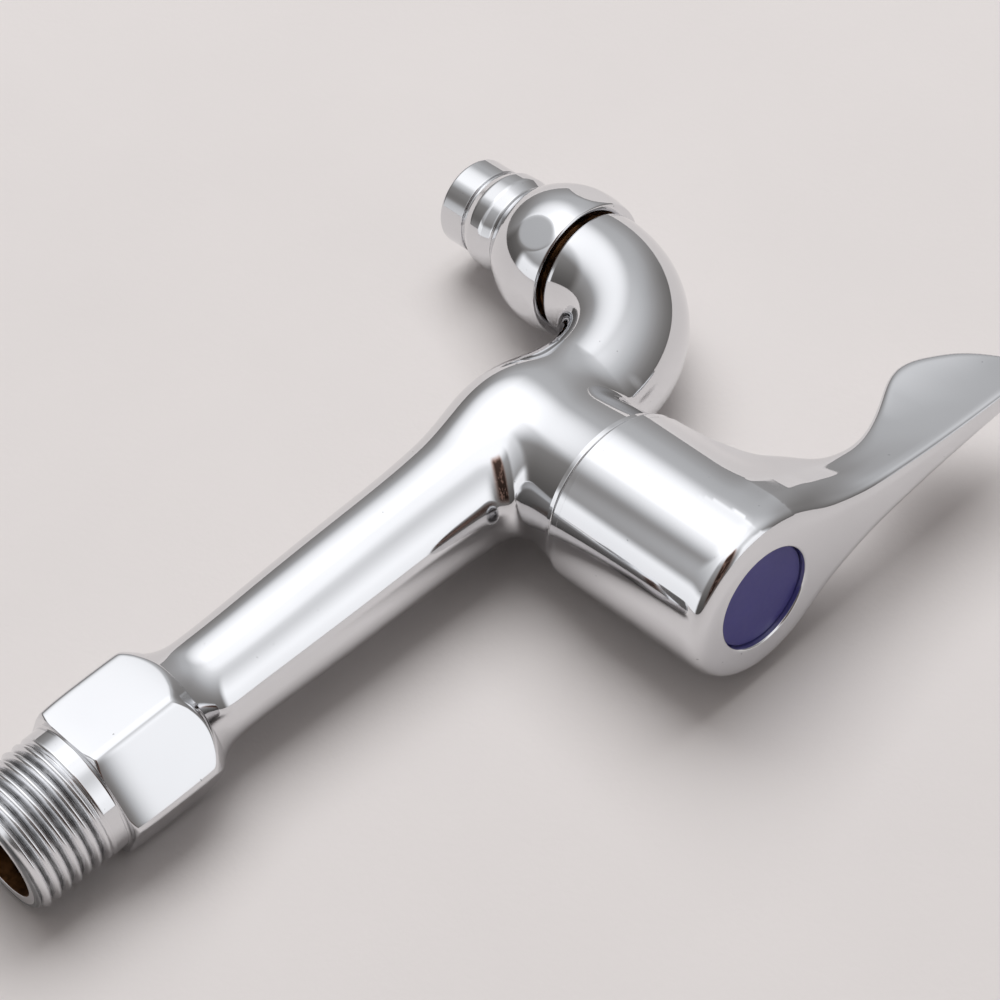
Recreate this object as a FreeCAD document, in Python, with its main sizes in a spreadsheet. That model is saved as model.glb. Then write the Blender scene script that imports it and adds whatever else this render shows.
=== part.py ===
import FreeCAD, Part
import math
import os
import Sketcher

# A long-bodied quarter-turn washing machine tap, in millimetres.
# Origin: the axis of the inlet thread, at the shoulder of the hexagon that meets the wall.
# +Y points into the wall, -Y along the spout, +Z up to the handle.

SIZES = (
    # name, value, what it is
    ("thread_radius", 10.478, "crest radius of the G 1/2 inlet thread"),
    ("thread_pitch", 1.814, "pitch of the G 1/2 thread, 14 to the inch"),
    ("thread_depth", 1.162, "depth of the G 1/2 thread"),
    ("thread_crest", 0.45, "width left on the crest of each turn"),
    ("thread_length", 16.0, "length of the inlet end beyond the hexagon"),
    ("collar_length", 2.4, "plain collar between the hexagon and the thread"),
    ("relief_radius", 9.5, "radius of the groove where the thread runs out"),
    ("relief_length", 1.0, "length of the groove where the thread runs out"),
    ("inlet_bore", 7.4, "radius of the mouth of the inlet"),
    ("inlet_mouth_depth", 18.0, "depth of the wide mouth of the inlet"),
    ("hex_flats", 22.8, "across the flats of the hexagon"),
    ("hex_length", 17.3, "length of the hexagon on its flats"),
    ("hex_front_bevel", 0.7, "bevel on the wall side corners of the hexagon"),
    ("hex_back_bevel", 3.0, "how far the rounded end of the hexagon cuts back its corners"),
    ("hex_back_curve", 14.0, "radius of the rounded end of the hexagon"),
    ("neck_flare", 10.7, "radius of the barrel where it meets the hexagon"),
    ("neck_flare_length", 5.4, "length over which the barrel draws in from the hexagon"),
    ("barrel_radius", 8.4, "radius of the barrel behind the hexagon"),
    ("barrel_head_radius", 9.6, "radius of the barrel where it starts to swell into the head"),
    ("swell_start", 20.0, "from the handle's axis to where the barrel starts to swell"),
    ("swell_top", 4.0, "from the handle's axis to where the swell is thickest"),
    ("barrel_bore", 5.6, "radius of the waterway in the barrel"),
    ("hub_distance", 88.5, "from the hexagon's shoulder to the handle's axis"),
    ("head_radius", 12.2, "radius of the head about the handle's axis"),
    ("head_overhang", 1.0, "how far the head stands out beyond the swell under it"),
    ("head_root", 8.0, "radius of the head where it sinks into the swell"),
    ("head_root_drop", 7.0, "from the barrel's axis down to the buried foot of the head"),
    ("head_blend", 3.0, "blend between the head and the barrel and elbow"),
    ("boss_radius", 13.8, "radius of the boss under the handle"),
    ("boss_height", 18.9, "from the barrel's axis up to the boss's top face"),
    ("seat_height", 0.8, "from the barrel's axis up to the valve seat"),
    ("seat_port", 4.4, "radius of the port in the valve seat"),
    ("under_seat_wall", 1.9, "thickness of the seat"),
    ("under_seat_bore", 3.7, "radius of the passage under the seat"),
    ("chamber_radius", 9.6, "radius of the threaded bore for the headwork"),
    ("elbow_start", 13.0, "from the handle's axis to where the spout starts to bend"),
    ("elbow_bend", 19.2, "bend radius of the spout's axis"),
    ("elbow_radius", 9.9, "radius of the spout where it starts to bend"),
    ("spout_radius", 10.8, "radius of the spout at its mouth"),
    ("spout_bore", 6.4, "radius of the waterway in the spout"),
    ("spout_tail_radius", 9.4, "radius of the threaded tail that carries the nozzle"),
    ("spout_tail_length", 8.6, "length of the threaded tail below the spout's mouth"),
    ("nozzle_gap", 0.9, "open groove between the spout and the nozzle"),
    ("fit_gap", 0.05, "clearance of a screwed or turning fit, on the radius"),
    ("edge_break", 0.4, "bevel that breaks the edges of the turned pieces"),
    ("nozzle_ball", 12.4, "radius of the ball of the nozzle"),
    ("nozzle_ball_drop", 4.0, "from the nozzle's top face down to the ball's widest place"),
    ("nozzle_ball_curve", 16.5, "radius of the ball's outline along the nozzle"),
    ("nozzle_flats", 24.2, "across the six wrench flats of the ball"),
    ("nozzle_neck", 7.8, "radius of the neck under the ball"),
    ("nozzle_neck_drop", 15.6, "from the nozzle's top face to the top of the neck"),
    ("nozzle_collar", 8.5, "radius of the hose collar"),
    ("nozzle_collar_drop", 18.2, "from the nozzle's top face to the hose collar"),
    ("nozzle_collar_length", 1.5, "length of the hose collar"),
    ("nozzle_collar_taper", 1.6, "length of the taper that leads onto the hose collar"),
    ("nozzle_groove", 7.2, "radius at the bottom of the groove before the taper"),
    ("nozzle_groove_length", 0.8, "width of the groove before the taper"),
    ("nozzle_tip", 7.65, "radius of the hose end"),
    ("nozzle_tip_length", 5.3, "length of the hose end"),
    ("nozzle_bore", 5.0, "radius of the outlet"),
    ("nozzle_washer_thickness", 2.0, "thickness of the nozzle's washer"),
    ("seam", 0.35, "running gap between the boss and the handle"),
    ("gasket_thickness", 0.9, "thickness of the headwork's gasket"),
    ("gasket_radius", 11.4, "outer radius of the headwork's gasket and flange"),
    ("headwork_hex", 19.6, "across the flats of the headwork"),
    ("headwork_hex_height", 5.6, "height of the headwork's hexagon"),
    ("headwork_thread_length", 9.0, "length of the headwork's thread"),
    ("headwork_flange_height", 1.6, "thickness of the headwork's round flange"),
    ("headwork_skirt", 8.2, "radius of the headwork below its thread"),
    ("headwork_neck", 7.0, "radius of the headwork's neck"),
    ("headwork_neck_height", 4.6, "height of the neck above the hexagon"),
    ("disc_radius", 6.9, "radius of the ceramic discs"),
    ("fixed_disc_thickness", 3.2, "thickness of the fixed disc"),
    ("moving_disc_thickness", 2.6, "thickness of the moving disc"),
    ("disc_port_inner", 1.5, "inner radius of the ports in the discs"),
    ("disc_port_outer", 5.2, "outer radius of the ports in the discs"),
    ("disc_port_angle", 76.0, "angle that each port in the discs takes"),
    ("film_gap", 0.04, "water film between the two discs"),
    ("seal_outer", 7.4, "outer radius of the seat seal"),
    ("seal_inner", 6.2, "inner radius of the seat seal"),
    ("seal_height", 3.1, "height of the seat seal"),
    ("seal_proud", 0.7, "how far the seat seal stands below the headwork"),
    ("support_ring_wall", 0.6, "wall of the ring inside the seat seal"),
    ("window_top", 10.6, "from the barrel's axis to the top of the headwork's side windows"),
    ("window_width", 6.4, "width of the side windows of the headwork"),
    ("lug_reach", 8.0, "from the handle's axis to the end of the fixed disc's lugs"),
    ("foot_radius", 6.7, "radius of the spindle's foot"),
    ("foot_height", 2.2, "height of the spindle's foot"),
    ("key_width", 2.6, "width of the key that turns the moving disc"),
    ("key_depth", 1.3, "depth of the key that turns the moving disc"),
    ("thrust_washer_thickness", 0.6, "thickness of the thrust washer"),
    ("spindle_radius", 4.6, "radius of the spindle"),
    ("ring_cord", 0.85, "half the thickness of the spindle's sealing rings"),
    ("lower_ring_drop", 4.2, "from the headwork's flange down to the lower sealing ring"),
    ("ring_spacing", 5.6, "from the lower sealing ring to the upper"),
    ("circlip_thickness", 0.8, "thickness of the circlip"),
    ("circlip_radius", 6.2, "outer radius of the circlip"),
    ("circlip_groove", 3.9, "radius at the bottom of the circlip's groove"),
    ("circlip_mouth", 4.6, "width of the opening of the circlip"),
    ("spline_radius", 4.0, "radius over the teeth of the spline"),
    ("spline_depth", 0.45, "depth of the teeth of the spline"),
    ("spline_teeth", 20, "teeth on the spline"),
    ("spline_start", 1.2, "from the circlip up to the spline"),
    ("spline_gap", 0.4, "gap between the spindle's end and the web of the handle"),
    ("insert_start", 0.2, "from the start of the spline up to the spline insert"),
    ("screw_radius", 2.0, "radius of the handle screw, M4"),
    ("screw_depth", 8.0, "length of the screw in the spindle"),
    ("screw_head_radius", 3.7, "radius of the handle screw's head"),
    ("screw_head_height", 2.2, "height of the handle screw's head"),
    ("screw_head_bevel", 0.9, "bevel of the handle screw's head"),
    ("cross_width", 0.9, "width of each slot of the screw's cross"),
    ("cross_length", 4.2, "length of each slot of the screw's cross"),
    ("cross_depth", 1.4, "depth of the screw's cross"),
    ("washer_radius", 3.9, "outer radius of the spring washer"),
    ("washer_thickness", 0.9, "thickness of the spring washer"),
    ("hub_radius", 14.5, "radius of the handle's hub at the seam"),
    ("hub_top_radius", 14.2, "radius of the handle's hub at its end face"),
    ("face_height", 49.9, "from the barrel's axis up to the handle's end face"),
    ("hub_edge", 2.4, "rounding of the hub's end face"),
    ("hub_rim", 0.6, "rounding of the hub's lower rim"),
    ("hub_cavity", 12.6, "radius of the hollow in the hub"),
    ("bush_radius", 5.7, "outer radius of the spline insert"),
    ("cavity_roof", 4.2, "metal between the hub's hollow and the recess"),
    ("bush_boss_wall", 2.2, "wall around the spline insert"),
    ("screw_clearance", 0.3, "clearance of the screw in the web"),
    ("hub_web", 2.2, "thickness of the web under the handle screw"),
    ("recess_radius", 8.6, "radius of the recess for the index cap"),
    ("recess_depth", 5.6, "depth of the recess for the index cap"),
    ("cap_below_face", 1.0, "how far the index cap lies below the end face"),
    ("cap_thickness", 1.0, "thickness of the index cap"),
    ("cap_skirt_wall", 1.1, "wall of the index cap's skirt"),
    ("lever_reach", 61.8, "from the handle's axis to where the lever's top and underside would meet"),
    ("lever_root_reach", 14.0, "from the handle's axis to where the lever leaves the hub"),
    ("lever_root_width", 7.5, "half width of the lever at its root"),
    ("lever_end_width", 1.2, "half width that the lever tapers towards"),
    ("lever_taper", 19.5, "length over which the lever's taper dies away"),
    ("lever_root_depth", 11.6, "depth of the lever at its root"),
    ("lever_neck_reach", 29.0, "from the handle's axis to the slimmest part of the lever"),
    ("lever_neck_depth", 10.6, "depth of the lever at its slimmest part"),
    ("lever_belly_reach", 46.6, "from the handle's axis to the deepest part of the lever"),
    ("lever_belly_depth", 16.8, "depth of the lever at its deepest part"),
    ("lever_rise", 1.1, "how far the lever's top climbs to its tip"),
    ("lever_corner", 1.7, "rounding along the lever's top edges at the root"),
    ("lever_blend", 11.0, "blend between the lever's underside and the hub"),
    ("lever_under_share", 0.55, "width of the lever's underside as a share of its width"),
    ("lever_hollow", 0.05, "how far the lever's sides are hollowed, as a share of their height"),
)

doc = FreeCAD.newDocument("washing_machine_tap")
sheet = doc.addObject("Spreadsheet::Sheet", "sizes")


class Size:
    """A number that remembers the expression on the sheet that it comes from."""

    def __init__(self, value, text):
        self.value = float(value)
        self.text = text

    @staticmethod
    def of(other):
        if isinstance(other, Size):
            return other
        return Size(other, "%.9g" % other)

    def __add__(self, other):
        other = Size.of(other)
        return Size(self.value + other.value, "(%s + %s)" % (self.text, other.text))

    def __sub__(self, other):
        other = Size.of(other)
        return Size(self.value - other.value, "(%s - %s)" % (self.text, other.text))

    def __mul__(self, other):
        other = Size.of(other)
        return Size(self.value * other.value, "(%s * %s)" % (self.text, other.text))

    def __truediv__(self, other):
        other = Size.of(other)
        return Size(self.value / other.value, "(%s / %s)" % (self.text, other.text))

    def __radd__(self, other):
        return Size.of(other) + self

    def __rsub__(self, other):
        return Size.of(other) - self

    def __rmul__(self, other):
        return Size.of(other) * self

    def __neg__(self):
        return Size(-self.value, "(0 - %s)" % self.text)

    def root(self):
        return Size(math.sqrt(self.value), "sqrt(%s)" % self.text)

    def exponential(self):
        return Size(math.exp(self.value), "exp(%s)" % self.text)

    def cosine(self):
        return Size(math.cos(math.radians(self.value)), "cos(%s)" % self.text)

    def sine(self):
        return Size(math.sin(math.radians(self.value)), "sin(%s)" % self.text)


class Sizes:
    """The driving dimensions, by name."""


def write_sheet():
    named = Sizes()
    for row, (name, value, note) in enumerate(SIZES, start=1):
        sheet.set("A%d" % row, name)
        sheet.set("B%d" % row, str(value))
        sheet.set("C%d" % row, note)
        sheet.setAlias("B%d" % row, name)
        setattr(named, name, Size(value, "sizes." + name))
    doc.recompute()
    return named


S = write_sheet()


def bind(thing, path, size):
    """Tie a property, or a part of one, to an expression on the sheet."""
    thing.setExpression(path, Size.of(size).text)


def new_body(label, y=None, z=None):
    """A sub-part, moved along Y and Z from the origin."""
    body = doc.addObject("PartDesign::Body", label)
    body.Label = label
    body.Placement = FreeCAD.Placement()
    if y is not None:
        bind(body, "Placement.Base.y", y)
    if z is not None:
        bind(body, "Placement.Base.z", z)
    return body


def new_sketch(body, name, plane, x=None, y=None, z=None):
    """A sketch on one of the body's origin planes, offset in the sketch's own axes."""
    sketch = body.newObject("Sketcher::SketchObject", name)
    support = next(f for f in body.Origin.OriginFeatures if f.Role == plane)
    sketch.AttachmentSupport = [(support, "")]
    sketch.MapMode = "FlatFace"
    for axis, size in (("x", x), ("y", y), ("z", z)):
        if size is not None:
            bind(sketch, "AttachmentOffset.Base." + axis, size)
    return sketch


def arc_between(start, end, radius, side):
    """The arc from start to end that bulges to the left (side 1) or to the right (side -1)."""
    chord = end - start
    half = chord.Length / 2
    left = FreeCAD.Vector(-chord.y, chord.x, 0)
    left.normalize()
    height = math.sqrt(max(radius * radius - half * half, 0.0))
    centre = (start + end) / 2 - left * (side * height)
    first = start if side < 0 else end
    last = end if side < 0 else start
    begin = math.atan2(first.y - centre.y, first.x - centre.x)
    finish = math.atan2(last.y - centre.y, last.x - centre.x)
    if finish < begin:
        finish += 2 * math.pi
    circle = Part.Circle(centre, FreeCAD.Vector(0, 0, 1), radius)
    return Part.ArcOfCircle(circle, begin, finish)


def draw(sketch, corners):
    """A closed outline. A corner is (x, y), or (x, y, radius, side) where an arc leaves it."""
    spots = [FreeCAD.Vector(Size.of(c[0]).value, Size.of(c[1]).value, 0) for c in corners]
    offset = sketch.GeometryCount
    ends = []
    for number, corner in enumerate(corners):
        start = spots[number]
        end = spots[(number + 1) % len(spots)]
        if len(corner) == 2:
            sketch.addGeometry(Part.LineSegment(start, end), False)
            ends.append((1, 2))
            continue
        radius = Size.of(corner[2])
        arc = sketch.addGeometry(arc_between(start, end, radius.value, corner[3]), False)
        ends.append((1, 2) if corner[3] < 0 else (2, 1))
        rule = sketch.addConstraint(Sketcher.Constraint("Radius", arc, radius.value))
        sketch.renameConstraint(rule, "radius%d" % arc)
        bind(sketch, "Constraints.radius%d" % arc, radius)
    for number, corner in enumerate(corners):
        edge = offset + number
        after = (number + 1) % len(corners)
        joined = (edge, ends[number][1], offset + after, ends[after][0])
        sketch.addConstraint(Sketcher.Constraint("Coincident", *joined))
        for kind, letter, size in (("DistanceX", "x", corner[0]), ("DistanceY", "y", corner[1])):
            size = Size.of(size)
            spot = (-1, 1, edge, ends[number][0], size.value)
            rule = sketch.addConstraint(Sketcher.Constraint(kind, *spot))
            sketch.renameConstraint(rule, "%s%d" % (letter, edge))
            bind(sketch, "Constraints.%s%d" % (letter, edge), size)


def draw_circle(sketch, radius, x=0.0, y=0.0):
    radius = Size.of(radius)
    x = Size.of(x)
    y = Size.of(y)
    centre = FreeCAD.Vector(x.value, y.value, 0)
    ring = sketch.addGeometry(Part.Circle(centre, FreeCAD.Vector(0, 0, 1), radius.value), False)
    rules = (
        ("radius", Sketcher.Constraint("Radius", ring, radius.value), radius),
        ("x", Sketcher.Constraint("DistanceX", -1, 1, ring, 3, x.value), x),
        ("y", Sketcher.Constraint("DistanceY", -1, 1, ring, 3, y.value), y),
    )
    for letter, rule, size in rules:
        number = sketch.addConstraint(rule)
        sketch.renameConstraint(number, "%s%d" % (letter, ring))
        bind(sketch, "Constraints.%s%d" % (letter, ring), size)


def turn(body, sketch, kind="Revolution", axis="V_Axis"):
    """Revolve a sketch about its own upright or level axis: a Revolution adds, a Groove cuts."""
    feature = body.newObject("PartDesign::" + kind, kind + sketch.Name)
    feature.Profile = sketch
    feature.ReferenceAxis = (sketch, [axis])
    feature.Angle = 360
    doc.recompute()
    return feature


def pad(body, sketch, length, kind="Pad", backwards=False):
    """Pad or pocket a sketch by a length along its normal, or against it."""
    feature = body.newObject("PartDesign::" + kind, kind + sketch.Name)
    feature.Profile = sketch
    bind(feature, "Length", length)
    feature.Reversed = backwards
    doc.recompute()
    return feature


def around(body, feature, sketch, count):
    """Repeat a feature about the sketch's normal. The count is a size or a number."""
    pattern = body.newObject("PartDesign::PolarPattern", "Pattern" + feature.Name)
    pattern.Originals = [feature]
    pattern.Axis = (sketch, ["N_Axis"])
    pattern.Angle = 360
    bind(pattern, "Occurrences", count)
    body.Tip = pattern
    doc.recompute()
    return pattern


def turned_part(label, corners, y=None):
    """A sub-part turned about the upright axis at y, from its half outline (radius, height)."""
    body = new_body(label, y=y)
    sketch = new_sketch(body, label + "_outline", "XZ_Plane")
    draw(sketch, corners)
    turn(body, sketch)
    return body


def ring(label, inner, outer, bottom, top, y=None):
    corners = [(inner, bottom), (outer, bottom), (outer, top), (inner, top)]
    return turned_part(label, corners, y)


def hexagon(sketch, flats, point_up):
    """A hexagon about the sketch's origin, with two corners on its upright or level axis."""
    corner = flats / math.sqrt(3)
    spots = []
    for number in range(6):
        angle = math.radians(60 * number + (90 if point_up else 0))
        spots.append((corner * math.cos(angle), corner * math.sin(angle)))
    draw(sketch, spots)


def is_freeform(edge):
    """True for an edge where two curved faces cross, false for a circle or a straight line."""
    try:
        return not isinstance(edge.Curve, (Part.Circle, Part.Line))
    except TypeError:
        return True


def round_edges(body, feature, radius, wanted):
    """Fillet the edges of a feature whose middle passes the test wanted."""
    names = []
    for number, edge in enumerate(feature.Shape.Edges, start=1):
        middle = edge.valueAt((edge.FirstParameter + edge.LastParameter) / 2)
        if wanted(edge, middle):
            names.append("Edge%d" % number)
    fillet = body.newObject("PartDesign::Fillet", "Fillet" + feature.Name)
    fillet.Base = (feature, names)
    bind(fillet, "Radius", radius)
    doc.recompute()
    return fillet


# Heights of the stack inside the head and the handle, all above the barrel's axis.
HUB_Y = -S.hub_distance
SWELL_RADIUS = S.head_radius - S.head_overhang
NOZZLE_Y = -(S.hub_distance + S.elbow_start + S.elbow_bend)
HUB_BOTTOM = S.boss_height + S.seam
HEX_BOTTOM = S.boss_height + S.gasket_thickness
HEX_TOP = HEX_BOTTOM + S.headwork_hex_height
NECK_TOP = HEX_TOP + S.headwork_neck_height
HEADWORK_BOTTOM = S.seat_height + S.seal_proud
SEAL_TOP = S.seat_height + S.seal_height
FIXED_TOP = SEAL_TOP + S.fixed_disc_thickness
MOVING_BOTTOM = FIXED_TOP + S.film_gap
MOVING_TOP = MOVING_BOTTOM + S.moving_disc_thickness
FOOT_TOP = MOVING_TOP + S.foot_height
THRUST_TOP = FOOT_TOP + S.thrust_washer_thickness
CEILING = THRUST_TOP + S.fit_gap
CIRCLIP_BOTTOM = NECK_TOP + S.fit_gap
CIRCLIP_TOP = CIRCLIP_BOTTOM + S.circlip_thickness
RECESS_FLOOR = S.face_height - S.recess_depth
WEB_BOTTOM = RECESS_FLOOR - S.hub_web
SPLINE_TOP = WEB_BOTTOM - S.spline_gap
SPLINE_BOTTOM = CIRCLIP_TOP + S.spline_start
BUSH_BOTTOM = SPLINE_BOTTOM + S.insert_start
LOWER_RING = HEX_BOTTOM - S.lower_ring_drop
UPPER_RING = LOWER_RING + S.ring_spacing
SPOUT_Z = -S.elbow_bend
NOZZLE_TOP = SPOUT_Z - S.nozzle_gap
TAIL_END = SPOUT_Z - S.spout_tail_length
WASHER_BOTTOM = TAIL_END - S.nozzle_washer_thickness


def easing(length, rise):
    """Radius of the two equal arcs of a smooth step of that length and rise."""
    return (length * length + rise * rise) / (rise * 4)


def body_casting():
    """The chromed casting: inlet thread, hexagon, barrel, head, boss, elbow and waterway."""
    body = new_body("body_casting")

    # Barrel, from the end of the inlet thread to the start of the elbow.
    barrel = new_sketch(body, "barrel", "YZ_Plane")
    flare_rise = S.neck_flare - S.barrel_radius
    flare_curve = (S.neck_flare_length * S.neck_flare_length + flare_rise * flare_rise) / (2 * flare_rise)
    neck_y = -(S.hex_length + S.neck_flare_length)
    swell_y = -(S.hub_distance - S.swell_start)
    top_y = -(S.hub_distance - S.swell_top)
    elbow_y = -(S.hub_distance + S.elbow_start)
    mouth_bevel = S.thread_depth
    back_curve = easing(S.elbow_start, SWELL_RADIUS - S.elbow_radius)
    front_curve = easing(S.swell_start - S.swell_top, SWELL_RADIUS - S.barrel_head_radius)
    draw(barrel, [
        (S.thread_length, 0),
        (elbow_y, 0),
        (elbow_y, S.elbow_radius, back_curve, -1),
        ((elbow_y + HUB_Y) / 2, (S.elbow_radius + SWELL_RADIUS) / 2, back_curve, 1),
        (HUB_Y, SWELL_RADIUS),
        (top_y, SWELL_RADIUS, front_curve, 1),
        ((top_y + swell_y) / 2, (SWELL_RADIUS + S.barrel_head_radius) / 2, front_curve, -1),
        (swell_y, S.barrel_head_radius),
        (neck_y, S.barrel_radius, flare_curve, -1),
        (-S.hex_length, S.neck_flare),
        (-S.hex_length + 1, S.neck_flare),
        (-S.hex_length + 1, S.thread_radius),
        (S.collar_length, S.thread_radius),
        (S.collar_length + 0.2, S.relief_radius),
        (S.collar_length + S.relief_length - 0.2, S.relief_radius),
        (S.collar_length + S.relief_length, S.thread_radius),
        (S.thread_length - mouth_bevel * 0.6, S.thread_radius),
        (S.thread_length, S.thread_radius - mouth_bevel),
    ])
    turn(body, barrel, axis="H_Axis")

    # Hexagon, with its corners up and down, bevelled at the wall and rounded at the barrel.
    hex_sketch = new_sketch(body, "hexagon", "XZ_Plane")
    hexagon(hex_sketch, S.hex_flats, True)
    pad(body, hex_sketch, S.hex_length)
    corner = S.hex_flats / math.sqrt(3)
    bevels = new_sketch(body, "hexagon_bevels", "YZ_Plane")
    draw(bevels, [
        (0.5, corner - 1.6 * S.hex_front_bevel),
        (0.5, corner + 1),
        (-1.2 * S.hex_front_bevel, corner + 1),
        (-0.4 * S.hex_front_bevel, corner - 0.2 * S.hex_front_bevel),
    ])
    turn(body, bevels, "Groove", "H_Axis")
    rounded = new_sketch(body, "hexagon_end", "YZ_Plane")
    draw(rounded, [
        (-(S.hex_length - S.hex_back_bevel), corner, S.hex_back_curve, -1),
        (-(S.hex_length + 0.4), S.neck_flare),
        (-(S.hex_length + 1), corner + 1),
        (-(S.hex_length - S.hex_back_bevel), corner + 1),
    ])
    turn(body, rounded, "Groove", "H_Axis")

    # Head and boss, turned about the handle's axis.
    head = new_sketch(body, "head", "YZ_Plane", x=HUB_Y)
    widening = S.boss_radius - S.head_radius
    flare = (widening * widening + S.boss_height * S.boss_height) / (2 * widening)
    sinking = S.head_radius - S.head_root
    round_foot = (sinking * sinking + S.head_root_drop * S.head_root_drop) / (2 * sinking)
    draw(head, [
        (0, -S.head_root_drop),
        (S.head_root, -S.head_root_drop, round_foot, -1),
        (S.head_radius, 0, flare, 1),
        (S.boss_radius, S.boss_height),
        (0, S.boss_height),
    ])
    turn(body, head)

    # Elbow, growing a little towards its mouth.
    spine = elbow_line(body, "elbow_line")
    start = new_sketch(body, "elbow_start", "XZ_Plane", z=S.hub_distance + S.elbow_start)
    draw_circle(start, S.elbow_radius)
    mouth = new_sketch(body, "elbow_mouth", "XY_Plane", y=NOZZLE_Y, z=SPOUT_Z)
    draw_circle(mouth, S.spout_radius)
    elbow = body.newObject("PartDesign::AdditivePipe", "Elbow")
    elbow.Profile = start
    elbow.Spine = (spine, ["Edge1"])
    elbow.Transformation = "Multisection"
    elbow.Sections = [(mouth, [""])]
    doc.recompute()

    # The blend around the head.
    def crease(edge, middle):
        return abs(middle.y - HUB_Y.value) < S.boss_radius.value + 1 and is_freeform(edge)
    round_edges(body, body.Tip, S.head_blend, crease)

    # Threaded tail that carries the nozzle.
    tail = new_sketch(body, "spout_tail", "YZ_Plane", x=NOZZLE_Y)
    draw(tail, [
        (0, SPOUT_Z + 1),
        (0, TAIL_END),
        (S.spout_tail_radius - S.edge_break, TAIL_END),
        (S.spout_tail_radius, TAIL_END + S.edge_break),
        (S.spout_tail_radius, SPOUT_Z + 1),
    ])
    turn(body, tail)

    # Inlet thread.
    tooth = new_sketch(body, "thread_tooth", "YZ_Plane")
    half = (S.thread_pitch - S.thread_crest) / 2
    middle_y = S.collar_length + S.relief_length - 0.2
    root = S.thread_radius - S.thread_depth
    clear = 0.2
    draw(tooth, [
        (middle_y - half * (1 + clear), S.thread_radius + clear * S.thread_depth),
        (middle_y - 0.12, root),
        (middle_y + 0.12, root),
        (middle_y + half * (1 + clear), S.thread_radius + clear * S.thread_depth),
    ])
    thread = body.newObject("PartDesign::SubtractiveHelix", "InletThread")
    thread.Profile = tooth
    thread.ReferenceAxis = (tooth, ["H_Axis"])
    thread.Mode = "pitch-height-angle"
    bind(thread, "Pitch", S.thread_pitch)
    bind(thread, "Height", S.thread_length - middle_y + 1)
    thread.Angle = 0
    doc.recompute()

    # Waterway: inlet, the passage under the seat, the port, the chamber and the spout.
    inlet = new_sketch(body, "inlet_way", "YZ_Plane")
    mouth_end = S.thread_length - S.inlet_mouth_depth
    barrel_end = -(S.hub_distance - S.chamber_radius - S.under_seat_bore)
    draw(inlet, [
        (S.thread_length + 1, 0),
        (S.thread_length + 1, S.inlet_bore + 0.6 + 1),
        (S.thread_length - 0.6, S.inlet_bore),
        (mouth_end, S.inlet_bore),
        (mouth_end - (S.inlet_bore - S.barrel_bore), S.barrel_bore),
        (barrel_end, S.barrel_bore),
        (barrel_end, 0),
    ])
    turn(body, inlet, "Groove", "H_Axis")
    passage_z = S.seat_height - S.under_seat_wall - S.under_seat_bore
    passage = new_sketch(body, "passage_under_seat", "YZ_Plane", y=passage_z)
    draw(passage, [
        (barrel_end + S.under_seat_bore, 0),
        (barrel_end + S.under_seat_bore, S.under_seat_bore),
        (HUB_Y - S.seat_port, S.under_seat_bore),
        (HUB_Y - S.seat_port, 0),
    ])
    turn(body, passage, "Groove", "H_Axis")
    chamber = new_sketch(body, "chamber", "YZ_Plane", x=HUB_Y)
    draw(chamber, [
        (0, passage_z),
        (S.seat_port, passage_z),
        (S.seat_port, S.seat_height),
        (S.chamber_radius, S.seat_height),
        (S.chamber_radius, S.boss_height + 1),
        (0, S.boss_height + 1),
    ])
    turn(body, chamber, "Groove")
    outlet = new_sketch(body, "outlet_way", "YZ_Plane")
    draw(outlet, [
        (HUB_Y - S.chamber_radius + 1.5, 0),
        (HUB_Y - S.chamber_radius + 1.5, S.spout_bore),
        (HUB_Y - S.elbow_start, S.spout_bore),
        (HUB_Y - S.elbow_start, 0),
    ])
    turn(body, outlet, "Groove", "H_Axis")
    bore_line = elbow_line(body, "spout_bore_line")
    bore_start = new_sketch(body, "spout_bore_start", "XZ_Plane", z=S.hub_distance + S.elbow_start)
    draw_circle(bore_start, S.spout_bore)
    bore = body.newObject("PartDesign::SubtractivePipe", "SpoutBore")
    bore.Profile = bore_start
    bore.Spine = (bore_line, ["Edge1"])
    doc.recompute()
    tail_way = new_sketch(body, "tail_way", "YZ_Plane", x=NOZZLE_Y)
    draw(tail_way, [
        (0, SPOUT_Z),
        (0, TAIL_END - 1),
        (S.spout_bore, TAIL_END - 1),
        (S.spout_bore, SPOUT_Z),
    ])
    turn(body, tail_way, "Groove")
    return body


def elbow_line(body, name):
    """The quarter circle that the spout's axis follows."""
    start_y = HUB_Y - S.elbow_start
    line = new_sketch(body, name, "YZ_Plane")
    centre = FreeCAD.Vector(start_y.value, SPOUT_Z.value, 0)
    circle = Part.Circle(centre, FreeCAD.Vector(0, 0, 1), S.elbow_bend.value)
    line.addGeometry(Part.ArcOfCircle(circle, math.pi / 2, math.pi), False)
    for kind, letter, point, size in (
        ("DistanceX", "start_y", 1, start_y),
        ("DistanceY", "start_z", 1, Size.of(0)),
        ("DistanceX", "end_y", 2, NOZZLE_Y),
        ("DistanceY", "end_z", 2, SPOUT_Z),
    ):
        rule = line.addConstraint(Sketcher.Constraint(kind, -1, 1, 0, point, size.value))
        line.renameConstraint(rule, letter)
        bind(line, "Constraints." + letter, size)
    rule = line.addConstraint(Sketcher.Constraint("Radius", 0, S.elbow_bend.value))
    line.renameConstraint(rule, "bend")
    bind(line, "Constraints.bend", S.elbow_bend)
    return line


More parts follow.
